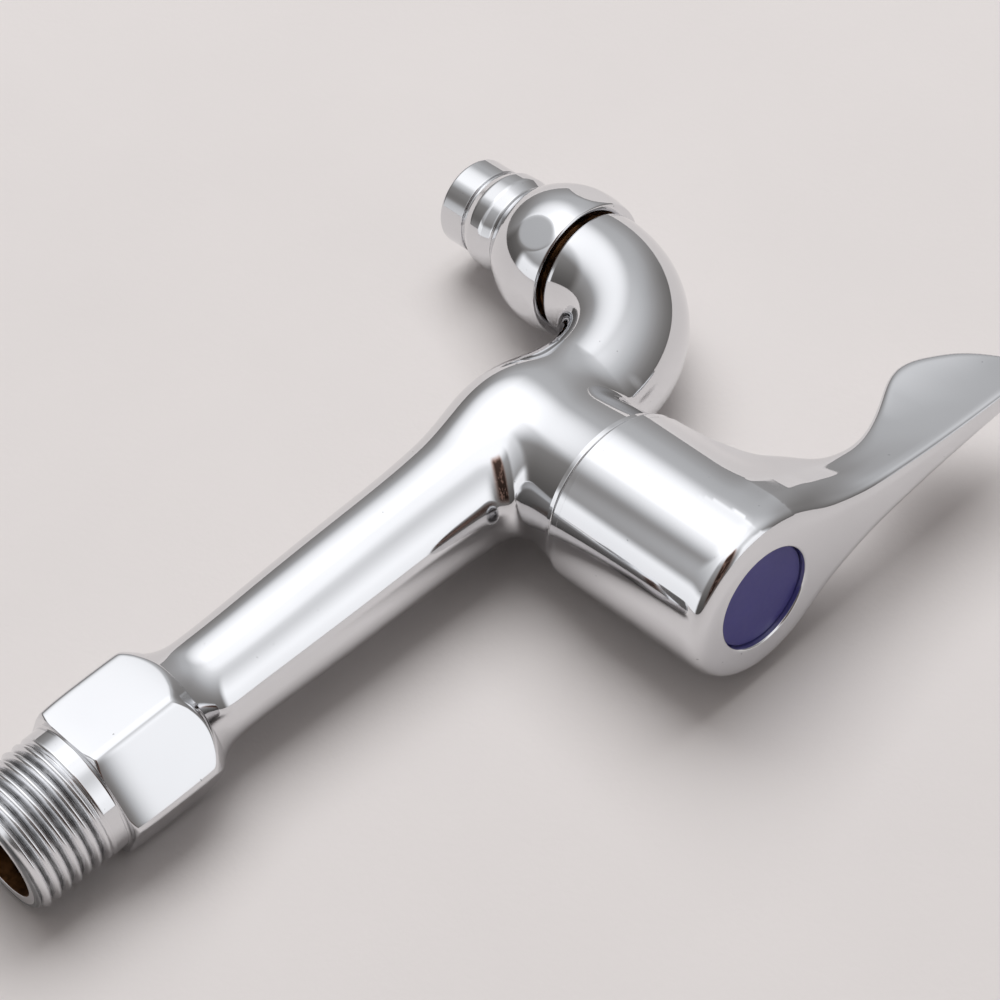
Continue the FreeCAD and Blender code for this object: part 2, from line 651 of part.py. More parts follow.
def hose_nozzle():
    """The nozzle: a ball with six wrench flats, a neck, a hose collar with its taper, a groove and a tip."""
    body = new_body("hose_nozzle", y=NOZZLE_Y)
    top = NOZZLE_TOP
    ball = S.nozzle_ball
    curve = S.nozzle_ball_curve
    ball_z = top - S.nozzle_ball_drop
    shoulder = ball - curve + (curve * curve - S.nozzle_ball_drop * S.nozzle_ball_drop).root()
    neck_z = top - S.nozzle_neck_drop
    ball_end = S.nozzle_neck + 0.3
    ball_end_in = ball_end - ball + curve
    ball_end_z = ball_z - (curve * curve - ball_end_in * ball_end_in).root()
    collar_z = top - S.nozzle_collar_drop
    taper_z = collar_z - S.nozzle_collar_length
    groove_z = taper_z - S.nozzle_collar_taper
    tip_z = groove_z - S.nozzle_groove_length
    end_z = tip_z - S.nozzle_tip_length
    outline = new_sketch(body, "nozzle_outline", "XZ_Plane")
    draw(outline, [
        (S.spout_tail_radius + S.fit_gap, top),
        (shoulder - S.edge_break, top),
        (shoulder, top - S.edge_break, curve, 1),
        (ball_end, ball_end_z),
        (S.nozzle_neck, neck_z),
        (S.nozzle_neck, neck_z - 1.2),
        (S.nozzle_collar, collar_z),
        (S.nozzle_collar, taper_z),
        (S.nozzle_tip, groove_z),
        (S.nozzle_groove, groove_z),
        (S.nozzle_groove, tip_z),
        (S.nozzle_tip - S.edge_break, tip_z),
        (S.nozzle_tip, tip_z - S.edge_break),
        (S.nozzle_tip, end_z + S.edge_break),
        (S.nozzle_tip - S.edge_break, end_z),
        (S.nozzle_bore + S.edge_break, end_z),
        (S.nozzle_bore, end_z + S.edge_break),
        (S.nozzle_bore, WASHER_BOTTOM),
        (S.spout_tail_radius + S.fit_gap, WASHER_BOTTOM),
    ])
    turn(body, outline)
    flats = new_sketch(body, "wrench_flats", "XY_Plane", z=top + 1)
    hexagon(flats, S.nozzle_flats, False)
    draw_circle(flats, ball + 2)
    pad(body, flats, S.nozzle_neck_drop, "Pocket")
    return body


def headwork_body():
    """The brass headwork: skirt with side windows, thread, flange, hexagon and neck."""
    body = new_body("headwork_body", y=HUB_Y)
    thread_bottom = HEX_BOTTOM - S.headwork_thread_length
    flange_top = HEX_BOTTOM + S.headwork_flange_height
    thread = S.chamber_radius - S.fit_gap
    cavity = S.disc_radius + S.fit_gap
    shaft = S.spindle_radius + S.fit_gap
    outline = new_sketch(body, "headwork_outline", "XZ_Plane")
    draw(outline, [
        (S.seal_outer + S.fit_gap, HEADWORK_BOTTOM),
        (S.headwork_skirt, HEADWORK_BOTTOM),
        (S.headwork_skirt, thread_bottom),
        (thread - S.edge_break, thread_bottom),
        (thread, thread_bottom + S.edge_break),
        (thread, HEX_BOTTOM),
        (S.gasket_radius, HEX_BOTTOM),
        (S.gasket_radius, flange_top),
        (S.headwork_neck, flange_top),
        (S.headwork_neck, NECK_TOP - S.edge_break),
        (S.headwork_neck - S.edge_break, NECK_TOP),
        (shaft, NECK_TOP),
        (shaft, CEILING),
        (cavity, CEILING),
        (cavity, SEAL_TOP),
        (S.seal_outer + S.fit_gap, SEAL_TOP),
    ])
    turn(body, outline)
    nut = new_sketch(body, "headwork_nut", "XY_Plane", z=flange_top)
    hexagon(nut, S.headwork_hex, True)
    draw_circle(nut, shaft + 1)
    pad(body, nut, S.headwork_hex_height - S.headwork_flange_height)
    window = new_sketch(body, "side_windows", "XZ_Plane", z=-(S.headwork_skirt + 1))
    half = S.window_width / 2
    draw(window, [
        (-half, HEADWORK_BOTTOM - 1),
        (half, HEADWORK_BOTTOM - 1),
        (half, S.window_top),
        (-half, S.window_top),
    ])
    pad(body, window, 2 * (S.headwork_skirt + 1), "Pocket", True)
    return body


def sector(sketch, inner, outer, angle):
    """A port between two radii, about the sketch's upright axis."""
    half = angle / 2
    draw(sketch, [
        (inner * half.sine(), inner * half.cosine()),
        (outer * half.sine(), outer * half.cosine(), outer, 1),
        (-outer * half.sine(), outer * half.cosine()),
        (-inner * half.sine(), inner * half.cosine(), inner, -1),
    ])


def fixed_disc():
    """The lower ceramic disc: two ports and two lugs that sit in the headwork's windows."""
    body = new_body("fixed_disc", y=HUB_Y)
    outline = new_sketch(body, "fixed_outline", "XZ_Plane")
    draw(outline, [(0, SEAL_TOP), (S.disc_radius, SEAL_TOP), (S.disc_radius, FIXED_TOP), (0, FIXED_TOP)])
    turn(body, outline)
    lug = new_sketch(body, "lugs", "XY_Plane", z=SEAL_TOP)
    half = S.window_width / 2 - S.fit_gap
    draw(lug, [(-half, 0), (half, 0), (half, S.lug_reach), (-half, S.lug_reach)])
    around(body, pad(body, lug, S.fixed_disc_thickness), lug, 2)
    port = new_sketch(body, "fixed_port", "XY_Plane", z=FIXED_TOP)
    sector(port, S.disc_port_inner, S.disc_port_outer, S.disc_port_angle)
    around(body, pad(body, port, S.fixed_disc_thickness, "Pocket"), port, 2)
    return body


def moving_disc():
    """The upper ceramic disc: two open notches, a quarter turn from the ports when closed."""
    body = new_body("moving_disc", y=HUB_Y)
    outline = new_sketch(body, "moving_outline", "XZ_Plane")
    draw(outline, [(0, MOVING_BOTTOM), (S.disc_radius - S.fit_gap, MOVING_BOTTOM),
                   (S.disc_radius - S.fit_gap, MOVING_TOP), (0, MOVING_TOP)])
    turn(body, outline)
    notch = new_sketch(body, "notch", "XY_Plane", z=MOVING_TOP)
    half = S.disc_port_angle / 2
    reach = S.disc_radius + 1
    inner = S.disc_port_inner
    draw(notch, [
        (inner * half.cosine(), -inner * half.sine()),
        (reach * half.cosine(), -reach * half.sine(), reach, -1),
        (reach * half.cosine(), reach * half.sine()),
        (inner * half.cosine(), inner * half.sine(), inner, 1),
    ])
    around(body, pad(body, notch, S.moving_disc_thickness, "Pocket"), notch, 2)
    slot = new_sketch(body, "key_slot", "XY_Plane", z=MOVING_TOP)
    half_slot = S.key_width / 2 + S.fit_gap
    draw(slot, [(-half_slot, -reach), (half_slot, -reach), (half_slot, reach), (-half_slot, reach)])
    pad(body, slot, S.key_depth, "Pocket")
    return body


def spindle():
    """The spindle: foot with a key, sealing grooves, circlip groove, spline and tapped hole."""
    body = new_body("spindle", y=HUB_Y)
    shaft = S.spindle_radius
    groove = shaft - 2 * S.ring_cord
    low = LOWER_RING
    high = UPPER_RING
    gland = S.ring_cord + S.fit_gap
    outline = new_sketch(body, "spindle_outline", "XZ_Plane")
    draw(outline, [
        (0, MOVING_TOP),
        (S.foot_radius, MOVING_TOP),
        (S.foot_radius, FOOT_TOP),
        (shaft, FOOT_TOP),
        (shaft, low - gland),
        (groove, low - gland),
        (groove, low + gland),
        (shaft, low + gland),
        (shaft, high - gland),
        (groove, high - gland),
        (groove, high + gland),
        (shaft, high + gland),
        (shaft, CIRCLIP_BOTTOM),
        (S.circlip_groove, CIRCLIP_BOTTOM),
        (S.circlip_groove, CIRCLIP_TOP),
        (shaft, CIRCLIP_TOP),
        (shaft, SPLINE_BOTTOM - S.spline_start / 2),
        (S.spline_radius, SPLINE_BOTTOM),
        (S.spline_radius, SPLINE_TOP - S.edge_break),
        (S.spline_radius - S.edge_break, SPLINE_TOP),
        (S.screw_radius + S.fit_gap, SPLINE_TOP),
        (S.screw_radius + S.fit_gap, SPLINE_TOP - S.screw_depth - 1),
        (0, SPLINE_TOP - S.screw_depth - 2),
    ])
    turn(body, outline)
    key = new_sketch(body, "key", "XY_Plane", z=MOVING_TOP)
    half = S.key_width / 2
    reach = S.foot_radius - 0.7
    draw(key, [(-half, -reach), (half, -reach), (half, reach), (-half, reach)])
    pad(body, key, S.key_depth - S.fit_gap, "Pad", True)
    tooth = new_sketch(body, "spline_tooth", "XY_Plane", z=SPLINE_TOP)
    root = S.spline_radius - S.spline_depth
    wide = S.spline_depth * 0.8
    draw(tooth, [(-wide, S.spline_radius + 0.2), (0, root), (wide, S.spline_radius + 0.2)])
    around(body, pad(body, tooth, SPLINE_TOP - SPLINE_BOTTOM, "Pocket"), tooth, S.spline_teeth)
    return body


def sealing_ring(label, height):
    """A round rubber ring on the spindle."""
    body = new_body(label, y=HUB_Y)
    section = new_sketch(body, label + "_section", "XZ_Plane")
    draw_circle(section, S.ring_cord, S.spindle_radius - S.ring_cord, height)
    turn(body, section)
    return body


def circlip():
    """The open ring that keeps the spindle in the headwork."""
    body = ring("spindle_circlip", S.circlip_groove, S.circlip_radius, CIRCLIP_BOTTOM, CIRCLIP_TOP, HUB_Y)
    mouth = new_sketch(body, "circlip_mouth", "XY_Plane", z=CIRCLIP_TOP)
    half = S.circlip_mouth / 2
    draw(mouth, [(-half, 0), (half, 0), (half, S.circlip_radius + 1), (-half, S.circlip_radius + 1)])
    pad(body, mouth, S.circlip_thickness, "Pocket")
    return body


def lever_stations():
    """Places along the lever: reach, half width, depth, rise, corner rounding, lower half width."""
    root = S.lever_root_reach
    neck = S.lever_neck_reach
    belly = S.lever_belly_reach
    tip = S.lever_reach
    blend = S.lever_blend
    blend_end = S.hub_top_radius + blend
    places = [(root * 0.5, S.lever_root_depth + blend), (root * 0.8, S.lever_root_depth + blend)]
    for angle in (75, 45, 0):
        lean = math.radians(angle)
        reach = blend_end - blend * math.sin(lean)
        places.append((reach, S.lever_root_depth + blend * (1 - math.cos(lean))))
    for step in (0.5, 1.0):
        easing_in = (1 - math.cos(math.pi * step)) / 2
        reach = blend_end + (neck - blend_end) * step
        places.append((reach, S.lever_root_depth + (S.lever_neck_depth - S.lever_root_depth) * easing_in))
    for step in (0.33, 0.67, 1.0):
        easing_in = (1 - math.cos(math.pi * step)) / 2
        reach = neck + (belly - neck) * step
        places.append((reach, S.lever_neck_depth + (S.lever_belly_depth - S.lever_neck_depth) * easing_in))
    for step in (0.35, 0.65, 0.95):
        reach = belly + (tip - belly) * step
        places.append((reach, S.lever_belly_depth * (1 - step * step)))
    stations = []
    for reach, depth in places:
        along = (reach - root) / (tip - root)
        fade = ((root - reach) / S.lever_taper).exponential()
        width = S.lever_end_width + (S.lever_root_width - S.lever_end_width) * fade
        rounding = S.lever_corner * (1 - along * 0.6)
        stations.append((reach, width, depth, S.lever_rise * along, rounding, width * S.lever_under_share))
    return stations


def handle():
    """The chromed handle: hub, lever, recess for the index cap and hollow for the headwork."""
    body = new_body("handle", y=HUB_Y)
    hub = new_sketch(body, "hub", "XZ_Plane")
    edge = S.hub_edge
    draw(hub, [
        (0, HUB_BOTTOM),
        (S.hub_radius - S.hub_rim, HUB_BOTTOM, S.hub_rim, -1),
        (S.hub_radius, HUB_BOTTOM + S.hub_rim),
        (S.hub_top_radius, S.face_height - edge, edge, -1),
        (S.hub_top_radius - edge, S.face_height),
        (0, S.face_height),
    ])
    turn(body, hub)
    sections = []
    for number, (reach, width, depth, rise, rounding, lower) in enumerate(lever_stations()):
        section = new_sketch(body, "lever_%d" % number, "XZ_Plane", z=reach)
        top = S.face_height + rise
        bottom = top - depth
        height = depth - rounding - lower
        side = (height * height + (width - lower) * (width - lower)).root()
        scoop = side / (8 * S.lever_hollow)
        draw(section, [
            (rounding - width, top),
            (width - rounding, top, rounding, 1),
            (width, top - rounding, scoop, -1),
            (lower, bottom + lower, lower * 1.06, 1),
            (-lower, bottom + lower, scoop, -1),
            (-width, top - rounding, rounding, 1),
        ])
        sections.append(section)
    lever = body.newObject("PartDesign::AdditiveLoft", "Lever")
    lever.Profile = sections[0]
    lever.Sections = [(section, [""]) for section in sections[1:]]
    doc.recompute()
    hollow = new_sketch(body, "hollow", "XZ_Plane")
    roof = RECESS_FLOOR - S.cavity_roof
    boss = S.bush_radius + S.bush_boss_wall
    hole = S.screw_radius + S.screw_clearance
    draw(hollow, [
        (0, HUB_BOTTOM - 1),
        (S.hub_cavity, HUB_BOTTOM - 1),
        (S.hub_cavity, roof),
        (boss, roof),
        (boss, BUSH_BOTTOM),
        (S.bush_radius, BUSH_BOTTOM),
        (S.bush_radius, WEB_BOTTOM),
        (hole, WEB_BOTTOM),
        (hole, RECESS_FLOOR),
        (S.recess_radius, RECESS_FLOOR),
        (S.recess_radius, S.face_height + 2),
        (0, S.face_height + 2),
    ])
    turn(body, hollow, "Groove")
    return body


def handle_screw():
    """The M4 screw that holds the handle on the spindle."""
    head_bottom = RECESS_FLOOR + S.washer_thickness
    head_top = head_bottom + S.screw_head_height
    body = turned_part("handle_screw", [
        (0, SPLINE_TOP - S.screw_depth),
        (S.screw_radius - S.edge_break, SPLINE_TOP - S.screw_depth),
        (S.screw_radius, SPLINE_TOP - S.screw_depth + S.edge_break),
        (S.screw_radius, head_bottom),
        (S.screw_head_radius, head_bottom),
        (S.screw_head_radius, head_top - S.screw_head_bevel),
        (S.screw_head_radius - S.screw_head_bevel, head_top),
        (0, head_top),
    ], HUB_Y)
    for name, wide, high in (
        ("cross_level", S.cross_length / 2, S.cross_width / 2),
        ("cross_upright", S.cross_width / 2, S.cross_length / 2),
    ):
        slot = new_sketch(body, name, "XY_Plane", z=head_top)
        draw(slot, [(-wide, -high), (wide, -high), (wide, high), (-wide, high)])
        pad(body, slot, S.cross_depth, "Pocket")
    return body


def index_cap():
    """The coloured cap that closes the recess over the screw."""
    outer = S.recess_radius - S.fit_gap
    inner = outer - S.cap_skirt_wall
    top = S.face_height - S.cap_below_face
    return turned_part("index_cap", [
        (0, top - S.cap_thickness),
        (inner, top - S.cap_thickness),
        (inner, RECESS_FLOOR),
        (outer, RECESS_FLOOR),
        (outer, top - S.edge_break / 2),
        (outer - S.edge_break / 2, top),
        (0, top),
    ], HUB_Y)


parts = [
    body_casting(),
    hose_nozzle(),
    ring("nozzle_washer", S.spout_bore, S.spout_tail_radius - S.fit_gap, WASHER_BOTTOM, TAIL_END, NOZZLE_Y),
    headwork_body(),
    ring("headwork_gasket", S.chamber_radius, S.gasket_radius, S.boss_height, HEX_BOTTOM, HUB_Y),
    ring("seat_seal", S.seal_inner, S.seal_outer, S.seat_height, SEAL_TOP, HUB_Y),
    ring("seal_support_ring", S.seal_inner - S.support_ring_wall, S.seal_inner,
         S.seat_height + 0.4, SEAL_TOP - 0.3, HUB_Y),
    fixed_disc(),
    moving_disc(),
    spindle(),
    ring("spindle_thrust_washer", S.spindle_radius, S.foot_radius, FOOT_TOP, THRUST_TOP, HUB_Y),
    sealing_ring("spindle_seal_lower", LOWER_RING),
    sealing_ring("spindle_seal_upper", UPPER_RING),
    circlip(),
    handle(),
    ring("spline_insert", S.spline_radius + S.fit_gap, S.bush_radius, BUSH_BOTTOM, WEB_BOTTOM, HUB_Y),
    handle_screw(),
    ring("spring_washer", S.screw_radius + S.screw_clearance, S.washer_radius,
         RECESS_FLOOR, RECESS_FLOOR + S.washer_thickness, HUB_Y),
    index_cap(),
]

doc.recompute()
for item in doc.Objects:
    bad = [word for word in item.State if word in ("Invalid", "Error")]
    if bad:
        raise RuntimeError("%s is %s" % (item.Label, bad))
for part in parts:
    if part.Shape.isNull() or not part.Shape.isValid():
        raise RuntimeError("%s has no valid shape" % part.Label)

os.makedirs("parts", exist_ok=True)
for part in parts:
    part.Shape.exportStep("parts/%s.step" % part.Label)
    print("%-24s solids %d volume %9.1f" % (part.Label, len(part.Shape.Solids), part.Shape.Volume))
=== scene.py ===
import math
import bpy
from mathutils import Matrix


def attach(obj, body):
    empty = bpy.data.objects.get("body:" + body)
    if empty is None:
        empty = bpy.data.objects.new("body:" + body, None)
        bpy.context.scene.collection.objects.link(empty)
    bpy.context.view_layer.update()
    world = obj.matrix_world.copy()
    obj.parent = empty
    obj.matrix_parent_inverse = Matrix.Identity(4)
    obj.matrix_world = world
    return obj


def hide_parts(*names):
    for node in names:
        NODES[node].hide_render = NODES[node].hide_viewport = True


bl_info = {
    "name": "Washing machine tap",
    "version": (1, 0, 0),
    "blender": (4, 5, 0),
    "location": "3D View > Sidebar > Tap",
    "description": "Builds a chromed tap with a lever handle and a hose nozzle on a pale table",
    "category": "Add Mesh",
}

import bpy
import numpy as np
from bpy.props import FloatProperty, FloatVectorProperty, PointerProperty
from mathutils import Matrix, Vector

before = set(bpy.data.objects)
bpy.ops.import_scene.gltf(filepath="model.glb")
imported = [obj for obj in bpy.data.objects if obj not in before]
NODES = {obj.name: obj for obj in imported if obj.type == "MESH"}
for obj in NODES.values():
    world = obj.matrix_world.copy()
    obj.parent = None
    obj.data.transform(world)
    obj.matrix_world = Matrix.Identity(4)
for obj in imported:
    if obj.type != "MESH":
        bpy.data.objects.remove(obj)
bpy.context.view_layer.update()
METRE = 0.001
X, Y, Z = np.eye(3)

# Places of the materials on a chromed piece
CHROME, BORE, THREAD = range(3)

# The part of the studio light that scattering surfaces get; reflections show all of it
SCATTERED_SHARE = 0.46


def length(name, text, value):
    """A size in metres that the panel shows with its unit."""
    return FloatProperty(
        name=name, description=text, default=value, min=0, precision=5, unit="LENGTH",
    )


def share(name, text, value):
    """A plain number from none to all."""
    return FloatProperty(
        name=name, description=text, default=value, min=0, max=1, subtype="FACTOR",
    )


def colour(name, text, value):
    """A colour that the panel shows as a swatch."""
    return FloatVectorProperty(
        name=name, description=text, default=value, size=3, min=0, max=1, subtype="COLOR",
    )


class TapSizes(bpy.types.PropertyGroup):
    """Sizes of the chromed pieces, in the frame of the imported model."""

    hub_distance: length("Handle's axis", "From the hexagon's shoulder to the handle's axis", 0.0885)
    thread_radius: length("Thread radius", "Crest radius of the inlet thread", 0.010478)
    thread_pitch: length("Thread pitch", "Distance from one crest to the next", 0.001814)
    thread_depth: length("Thread depth", "Depth of the inlet thread", 0.001162)
    thread_end: length("Thread end", "From the hexagon's shoulder to the thread's end", 0.016)
    hexagon_flat: length("Hexagon flat", "From the axis to each flat of the hexagon", 0.0114)
    hexagon_length: length("Hexagon length", "Length of the hexagon", 0.0175)
    barrel_bore: length("Barrel bore", "Radius of the waterway in the barrel", 0.0056)
    head_radius: length("Head radius", "Radius of the head under the handle", 0.0122)
    boss_radius: length("Boss radius", "Radius of the boss at its top face", 0.0138)
    boss_height: length("Boss height", "From the barrel's axis up to the boss's top face", 0.0189)
    elbow_start: length("Elbow start", "From the handle's axis to where the spout bends", 0.013)
    elbow_bend: length("Elbow bend", "Bend radius of the spout's axis", 0.0192)
    elbow_radius: length("Elbow radius", "Radius of the spout where it starts to bend", 0.0099)
    spout_radius: length("Spout radius", "Radius of the spout at its mouth", 0.0108)
    ball_radius: length("Ball radius", "Radius of the nozzle's ball", 0.0124)
    ball_flat: length("Ball flat", "From the nozzle's axis to each wrench flat", 0.012)
    hub_radius: length("Hub radius", "Radius of the handle's hub at the seam", 0.0145)
    hub_top_radius: length("Hub top radius", "Radius of the handle's hub at its end face", 0.0142)
    hub_bottom: length("Hub bottom", "From the barrel's axis up to the hub's lower rim", 0.01925)
    face_height: length("Face height", "From the barrel's axis up to the handle's end face", 0.0499)
    recess_radius: length("Recess radius", "Radius of the recess for the index cap", 0.0086)
    lever_reach: length("Lever reach", "From the handle's axis to the lever's tip", 0.061)
    lever_tip_width: length("Lever tip half width", "Half the lever's width at its tip", 0.0017)


class TapFinishes(bpy.types.PropertyGroup):
    """Colours and polish of the surfaces."""

    chrome: colour("Chrome", "Colour of the chromium plate", (0.75, 0.755, 0.77))
    polish: share("Chrome roughness", "Roughness of the polished chromium plate", 0.045)
    thread_polish: share("Thread roughness", "Roughness of the chromed thread", 0.17)
    # The bore brass is much darker than the turned brass: painted shade inside the waterway and the gap
    # under the elbow
    bore_brass: colour("Bore brass", "Colour of the bare brass in the waterway", (0.16, 0.075, 0.03))
    brass: colour("Turned brass", "Colour of the headwork and spindle", (0.72, 0.5, 0.2))
    rubber: colour("Rubber", "Colour of the seals", (0.022, 0.022, 0.024))
    fibre: colour("Fibre", "Colour of the gasket", (0.05, 0.045, 0.04))
    steel: colour("Steel", "Colour of the screw, clip and rings", (0.52, 0.52, 0.53))
    ceramic: colour("Ceramic", "Colour of the two discs", (0.82, 0.8, 0.76))
    plastic: colour("White plastic", "Colour of the thrust washer and spline insert", (0.7, 0.69, 0.66))
    index: colour("Index cap", "Colour of the index cap", (0.05, 0.043, 0.255))
    softbox_power: FloatProperty(
        name="Softbox power", description="Power of the lamp over the table", default=35.0,
        min=0, unit="POWER",
    )
    table: colour("Table", "Colour of the pale table", (0.74, 0.71, 0.70))


def in_millimetres(context):
    """The sizes as plain numbers in millimetres."""
    group = context.scene.tap_sizes
    return {name: getattr(group, name) / METRE for name in TapSizes.__annotations__}


# Shader maths

class Socket:
    """A node's output that plain arithmetic works on, one Math node for each operation."""

    def __init__(self, tree, socket):
        self.tree = tree
        self.socket = socket

    def __add__(self, other):
        return self.tree.math("ADD", self, other)

    def __sub__(self, other):
        return self.tree.math("SUBTRACT", self, other)

    def __rsub__(self, other):
        return self.tree.math("SUBTRACT", other, self)

    def __mul__(self, other):
        return self.tree.math("MULTIPLY", self, other)

    def __truediv__(self, other):
        return self.tree.math("DIVIDE", self, other)

    __radd__ = __add__
    __rmul__ = __mul__


class Tree:
    """The nodes of a material or of the world."""

    def __init__(self, owner):
        owner.use_nodes = True
        self.nodes = owner.node_tree.nodes
        self.links = owner.node_tree.links
        self.nodes.clear()

    def node(self, kind, settings=None, sockets=None, out=0):
        """Adds a node, makes its settings, then fills its sockets, and gives one of its outputs."""
        made = self.nodes.new(kind)
        for name, value in (settings or {}).items():
            if name == "stops":
                self.set_stops(made.color_ramp, value)
            else:
                setattr(made, name, value)
        for key, value in (sockets or {}).items():
            if isinstance(value, Socket):
                self.links.new(value.socket, made.inputs[key])
            else:
                made.inputs[key].default_value = value
        return Socket(self, made.outputs[out]) if made.outputs else made

    def set_stops(self, ramp, stops):
        """Places the stops of a colour ramp, grey values as plain numbers."""
        while len(ramp.elements) < len(stops):
            ramp.elements.new(1)
        for element, (place, value) in zip(ramp.elements, stops):
            element.position = place
            element.color = (value, value, value, 1)

    def math(self, operation, *values):
        """One Math node."""
        return self.node("ShaderNodeMath", {"operation": operation}, dict(enumerate(values)))

    def vector(self, operation, *values, out=0):
        """One Vector Math node, whose first output is a vector and whose second is a number."""
        settings = {"operation": operation}
        return self.node("ShaderNodeVectorMath", settings, dict(enumerate(values)), out)

    def coordinates(self):
        """The place on a piece, in metres."""
        return self.node("ShaderNodeTexCoord", out=3)

    def noise(self, scale, detail, roughness=0.5, stretch=None):
        """Cloudy noise from 0 to 1, with scale features to the metre."""
        place = self.coordinates()
        if stretch:
            place = self.node("ShaderNodeMapping", sockets={0: place, "Scale": stretch})
        sockets = {"Vector": place, "Scale": scale, "Detail": detail, "Roughness": roughness}
        return self.node("ShaderNodeTexNoise", sockets=sockets)

    def step(self, value, low, high):
        """A soft step from 0 at low to 1 at high."""
        sockets = {"Value": value, "From Min": low, "From Max": high}
        return self.node("ShaderNodeMapRange", {"interpolation_type": "SMOOTHSTEP"}, sockets)

    def blend(self, amount, first, second):
        """A colour between two colours."""
        sockets = {0: amount, 6: first, 7: second}
        return self.node("ShaderNodeMix", {"data_type": "RGBA"}, sockets, out=2)

    def bump(self, height, distance):
        """A normal from a height, with distance as the height's size in metres."""
        sockets = {"Height": height, "Strength": 1.0, "Distance": distance}
        return self.node("ShaderNodeBump", sockets=sockets)

    def principled(self, base, rough, normal, metal=1.0):
        """Ends the tree in one Principled shader."""
        sockets = {"Base Color": base, "Metallic": metal, "Roughness": rough, "Normal": normal}
        self.surface(self.node("ShaderNodeBsdfPrincipled", sockets=sockets))

    def surface(self, shader):
        """Ends the tree in its output."""
        self.node("ShaderNodeOutputMaterial", sockets={"Surface": shader})


def opaque(colour_value, factor=1.0):
    """A colour with its alpha, as sockets take it, its brightness times a factor."""
    return tuple(channel * factor for channel in colour_value) + (1.0,)


def material(name):
    """A new material and its empty tree."""
    made = bpy.data.materials.new(name)
    return made, Tree(made)


def chrome_finish(name, tint, polish, waves):
    """Chromium plate: faint swell of the polished casting, orange peel, hazy smears, rare pits."""
    made, tree = material(name)
    haze = tree.step(tree.noise(90, 4, 0.6, (1.0, 0.45, 1.0)), 0.45, 0.78)
    pits = tree.step(tree.noise(1300, 1), 0.79, 0.83)
    swell = tree.noise(70, 1) * waves
    peel = tree.noise(520, 2) * 0.05
    clouds = tree.step(tree.noise(38, 3), 0.3, 0.7)
    plate = tree.blend(clouds, opaque(tint, 0.97), opaque(tint, 1.02))
    base = tree.blend(pits, plate, opaque(tint, 0.6))
    relief = tree.bump(swell + peel - pits * 0.12, 0.00002)
    tree.principled(base, polish + haze * 0.03 + pits * 0.2, relief)
    return made


def thread_finish(name, tint, polish):
    """Chromium plate on the thread: duller, with painted shade darkening its roots."""
    made, tree = material(name)
    across = tree.vector("MULTIPLY", tree.coordinates(), (1.0, 0.0, 1.0))
    radius = tree.vector("LENGTH", across, out=1)
    ragged = (tree.noise(700, 2) - 0.5) * 0.0003
    # The roots are painted far darker than the crests, as painted shade in the thread's grooves
    toward_crest = tree.step(radius + ragged, 0.0094, 0.01)
    base = tree.blend(toward_crest, opaque(tint, 0.28), opaque(tint, 1.05))
    smears = (tree.noise(300, 3) - 0.5) * 0.08
    relief = tree.bump(tree.noise(900, 2), 0.000006)
    tree.principled(base, polish + (1 - toward_crest) * 0.2 + smears, relief)
    return made


def bare_brass(name, tint, rough, dirt):
    """Brass as it comes from the tool: fine turning marks, and stains as dark as dirt says."""
    made, tree = material(name)
    stain = tree.step(tree.noise(260, 4, 0.6), 0.35, 0.7)
    marks = tree.noise(900, 2, 0.5, (0.15, 1.0, 0.15))
    base = tree.blend(stain, opaque(tint), opaque(tint, dirt))
    tree.principled(base, rough + stain * 0.15 + marks * 0.1, tree.bump(marks, 0.00002))
    return made


def plain_finish(name, tint, rough, grain, depth, metal=0.0):
    """Rubber, steel, ceramic or plastic: its colour in fine clouds over a fine grain."""
    made, tree = material(name)
    clouds = tree.noise(170, 4, 0.6)
    fine = tree.noise(grain, 3)
    base = tree.blend(clouds, opaque(tint, 0.88), opaque(tint, 1.1))
    tree.principled(base, rough + (fine - 0.5) * 0.16, tree.bump(fine, depth), metal)
    return made


# Skins over smooth forms

def smooth_min(first, second, reach):
    """The smaller of two distances, hollowed out where they come within reach of each other."""
    near = np.maximum(reach - np.abs(first - second), 0) / reach
    return np.minimum(first, second) - near ** 3 * reach / 6


def smooth_max(first, second, reach):
    """The larger of two distances, rounded off where they come within reach of each other."""
    return -smooth_min(-first, -second, reach)


def ease(value, low, high):
    """A soft step from 0 at low to 1 at high."""
    along = np.clip((value - low) / (high - low), 0, 1)
    return along * along * (3 - 2 * along)


def curve(knots):
    """A smooth curve through knots of place and value."""
    place, value = np.array(knots, float).T
    gap = np.diff(place)
    rise = np.diff(value) / gap
    count = len(place)
    rows = np.eye(count)
    right = np.zeros(count)
    for knot in range(1, count - 1):
        rows[knot, knot - 1:knot + 2] = gap[knot - 1], 2 * (gap[knot - 1] + gap[knot]), gap[knot]
        right[knot] = 6 * (rise[knot] - rise[knot - 1])
    bend = np.linalg.solve(rows, right)

    def at(where):
        """The curve's value, held at the first and last knot beyond them."""
        where = np.clip(where, place[0], place[-1])
        span = np.clip(np.searchsorted(place, where) - 1, 0, count - 2)
        after = place[span + 1] - where
        before = where - place[span]
        width = gap[span]
        cubes = (bend[span] * after ** 3 + bend[span + 1] * before ** 3) / (6 * width)
        left = (value[span] / width - bend[span] * width / 6) * after
        return cubes + left + (value[span + 1] / width - bend[span + 1] * width / 6) * before

    return at


def slope(field, points):
    """Which way, and how fast, a field grows at each point."""
    nudge = 0.01
    sides = []
    for axis in range(3):
        offset = np.zeros(3)
        offset[axis] = nudge
        sides.append((field(points + offset) - field(points - offset)) / (2 * nudge))
    return np.stack(sides, -1)


def unit(vectors):
    """Vectors made one long."""
    least = 1e-9
    return vectors / np.maximum(np.linalg.norm(vectors, axis=-1, keepdims=True), least)


def onto(field, points, rounds=3):
    """Points moved onto the surface where the field is zero."""
    least = 1e-6
    for _ in range(rounds):
        steep = slope(field, points)
        away = field(points) / np.maximum((steep ** 2).sum(-1), least)
        points = points - steep * away[:, None]
    return points


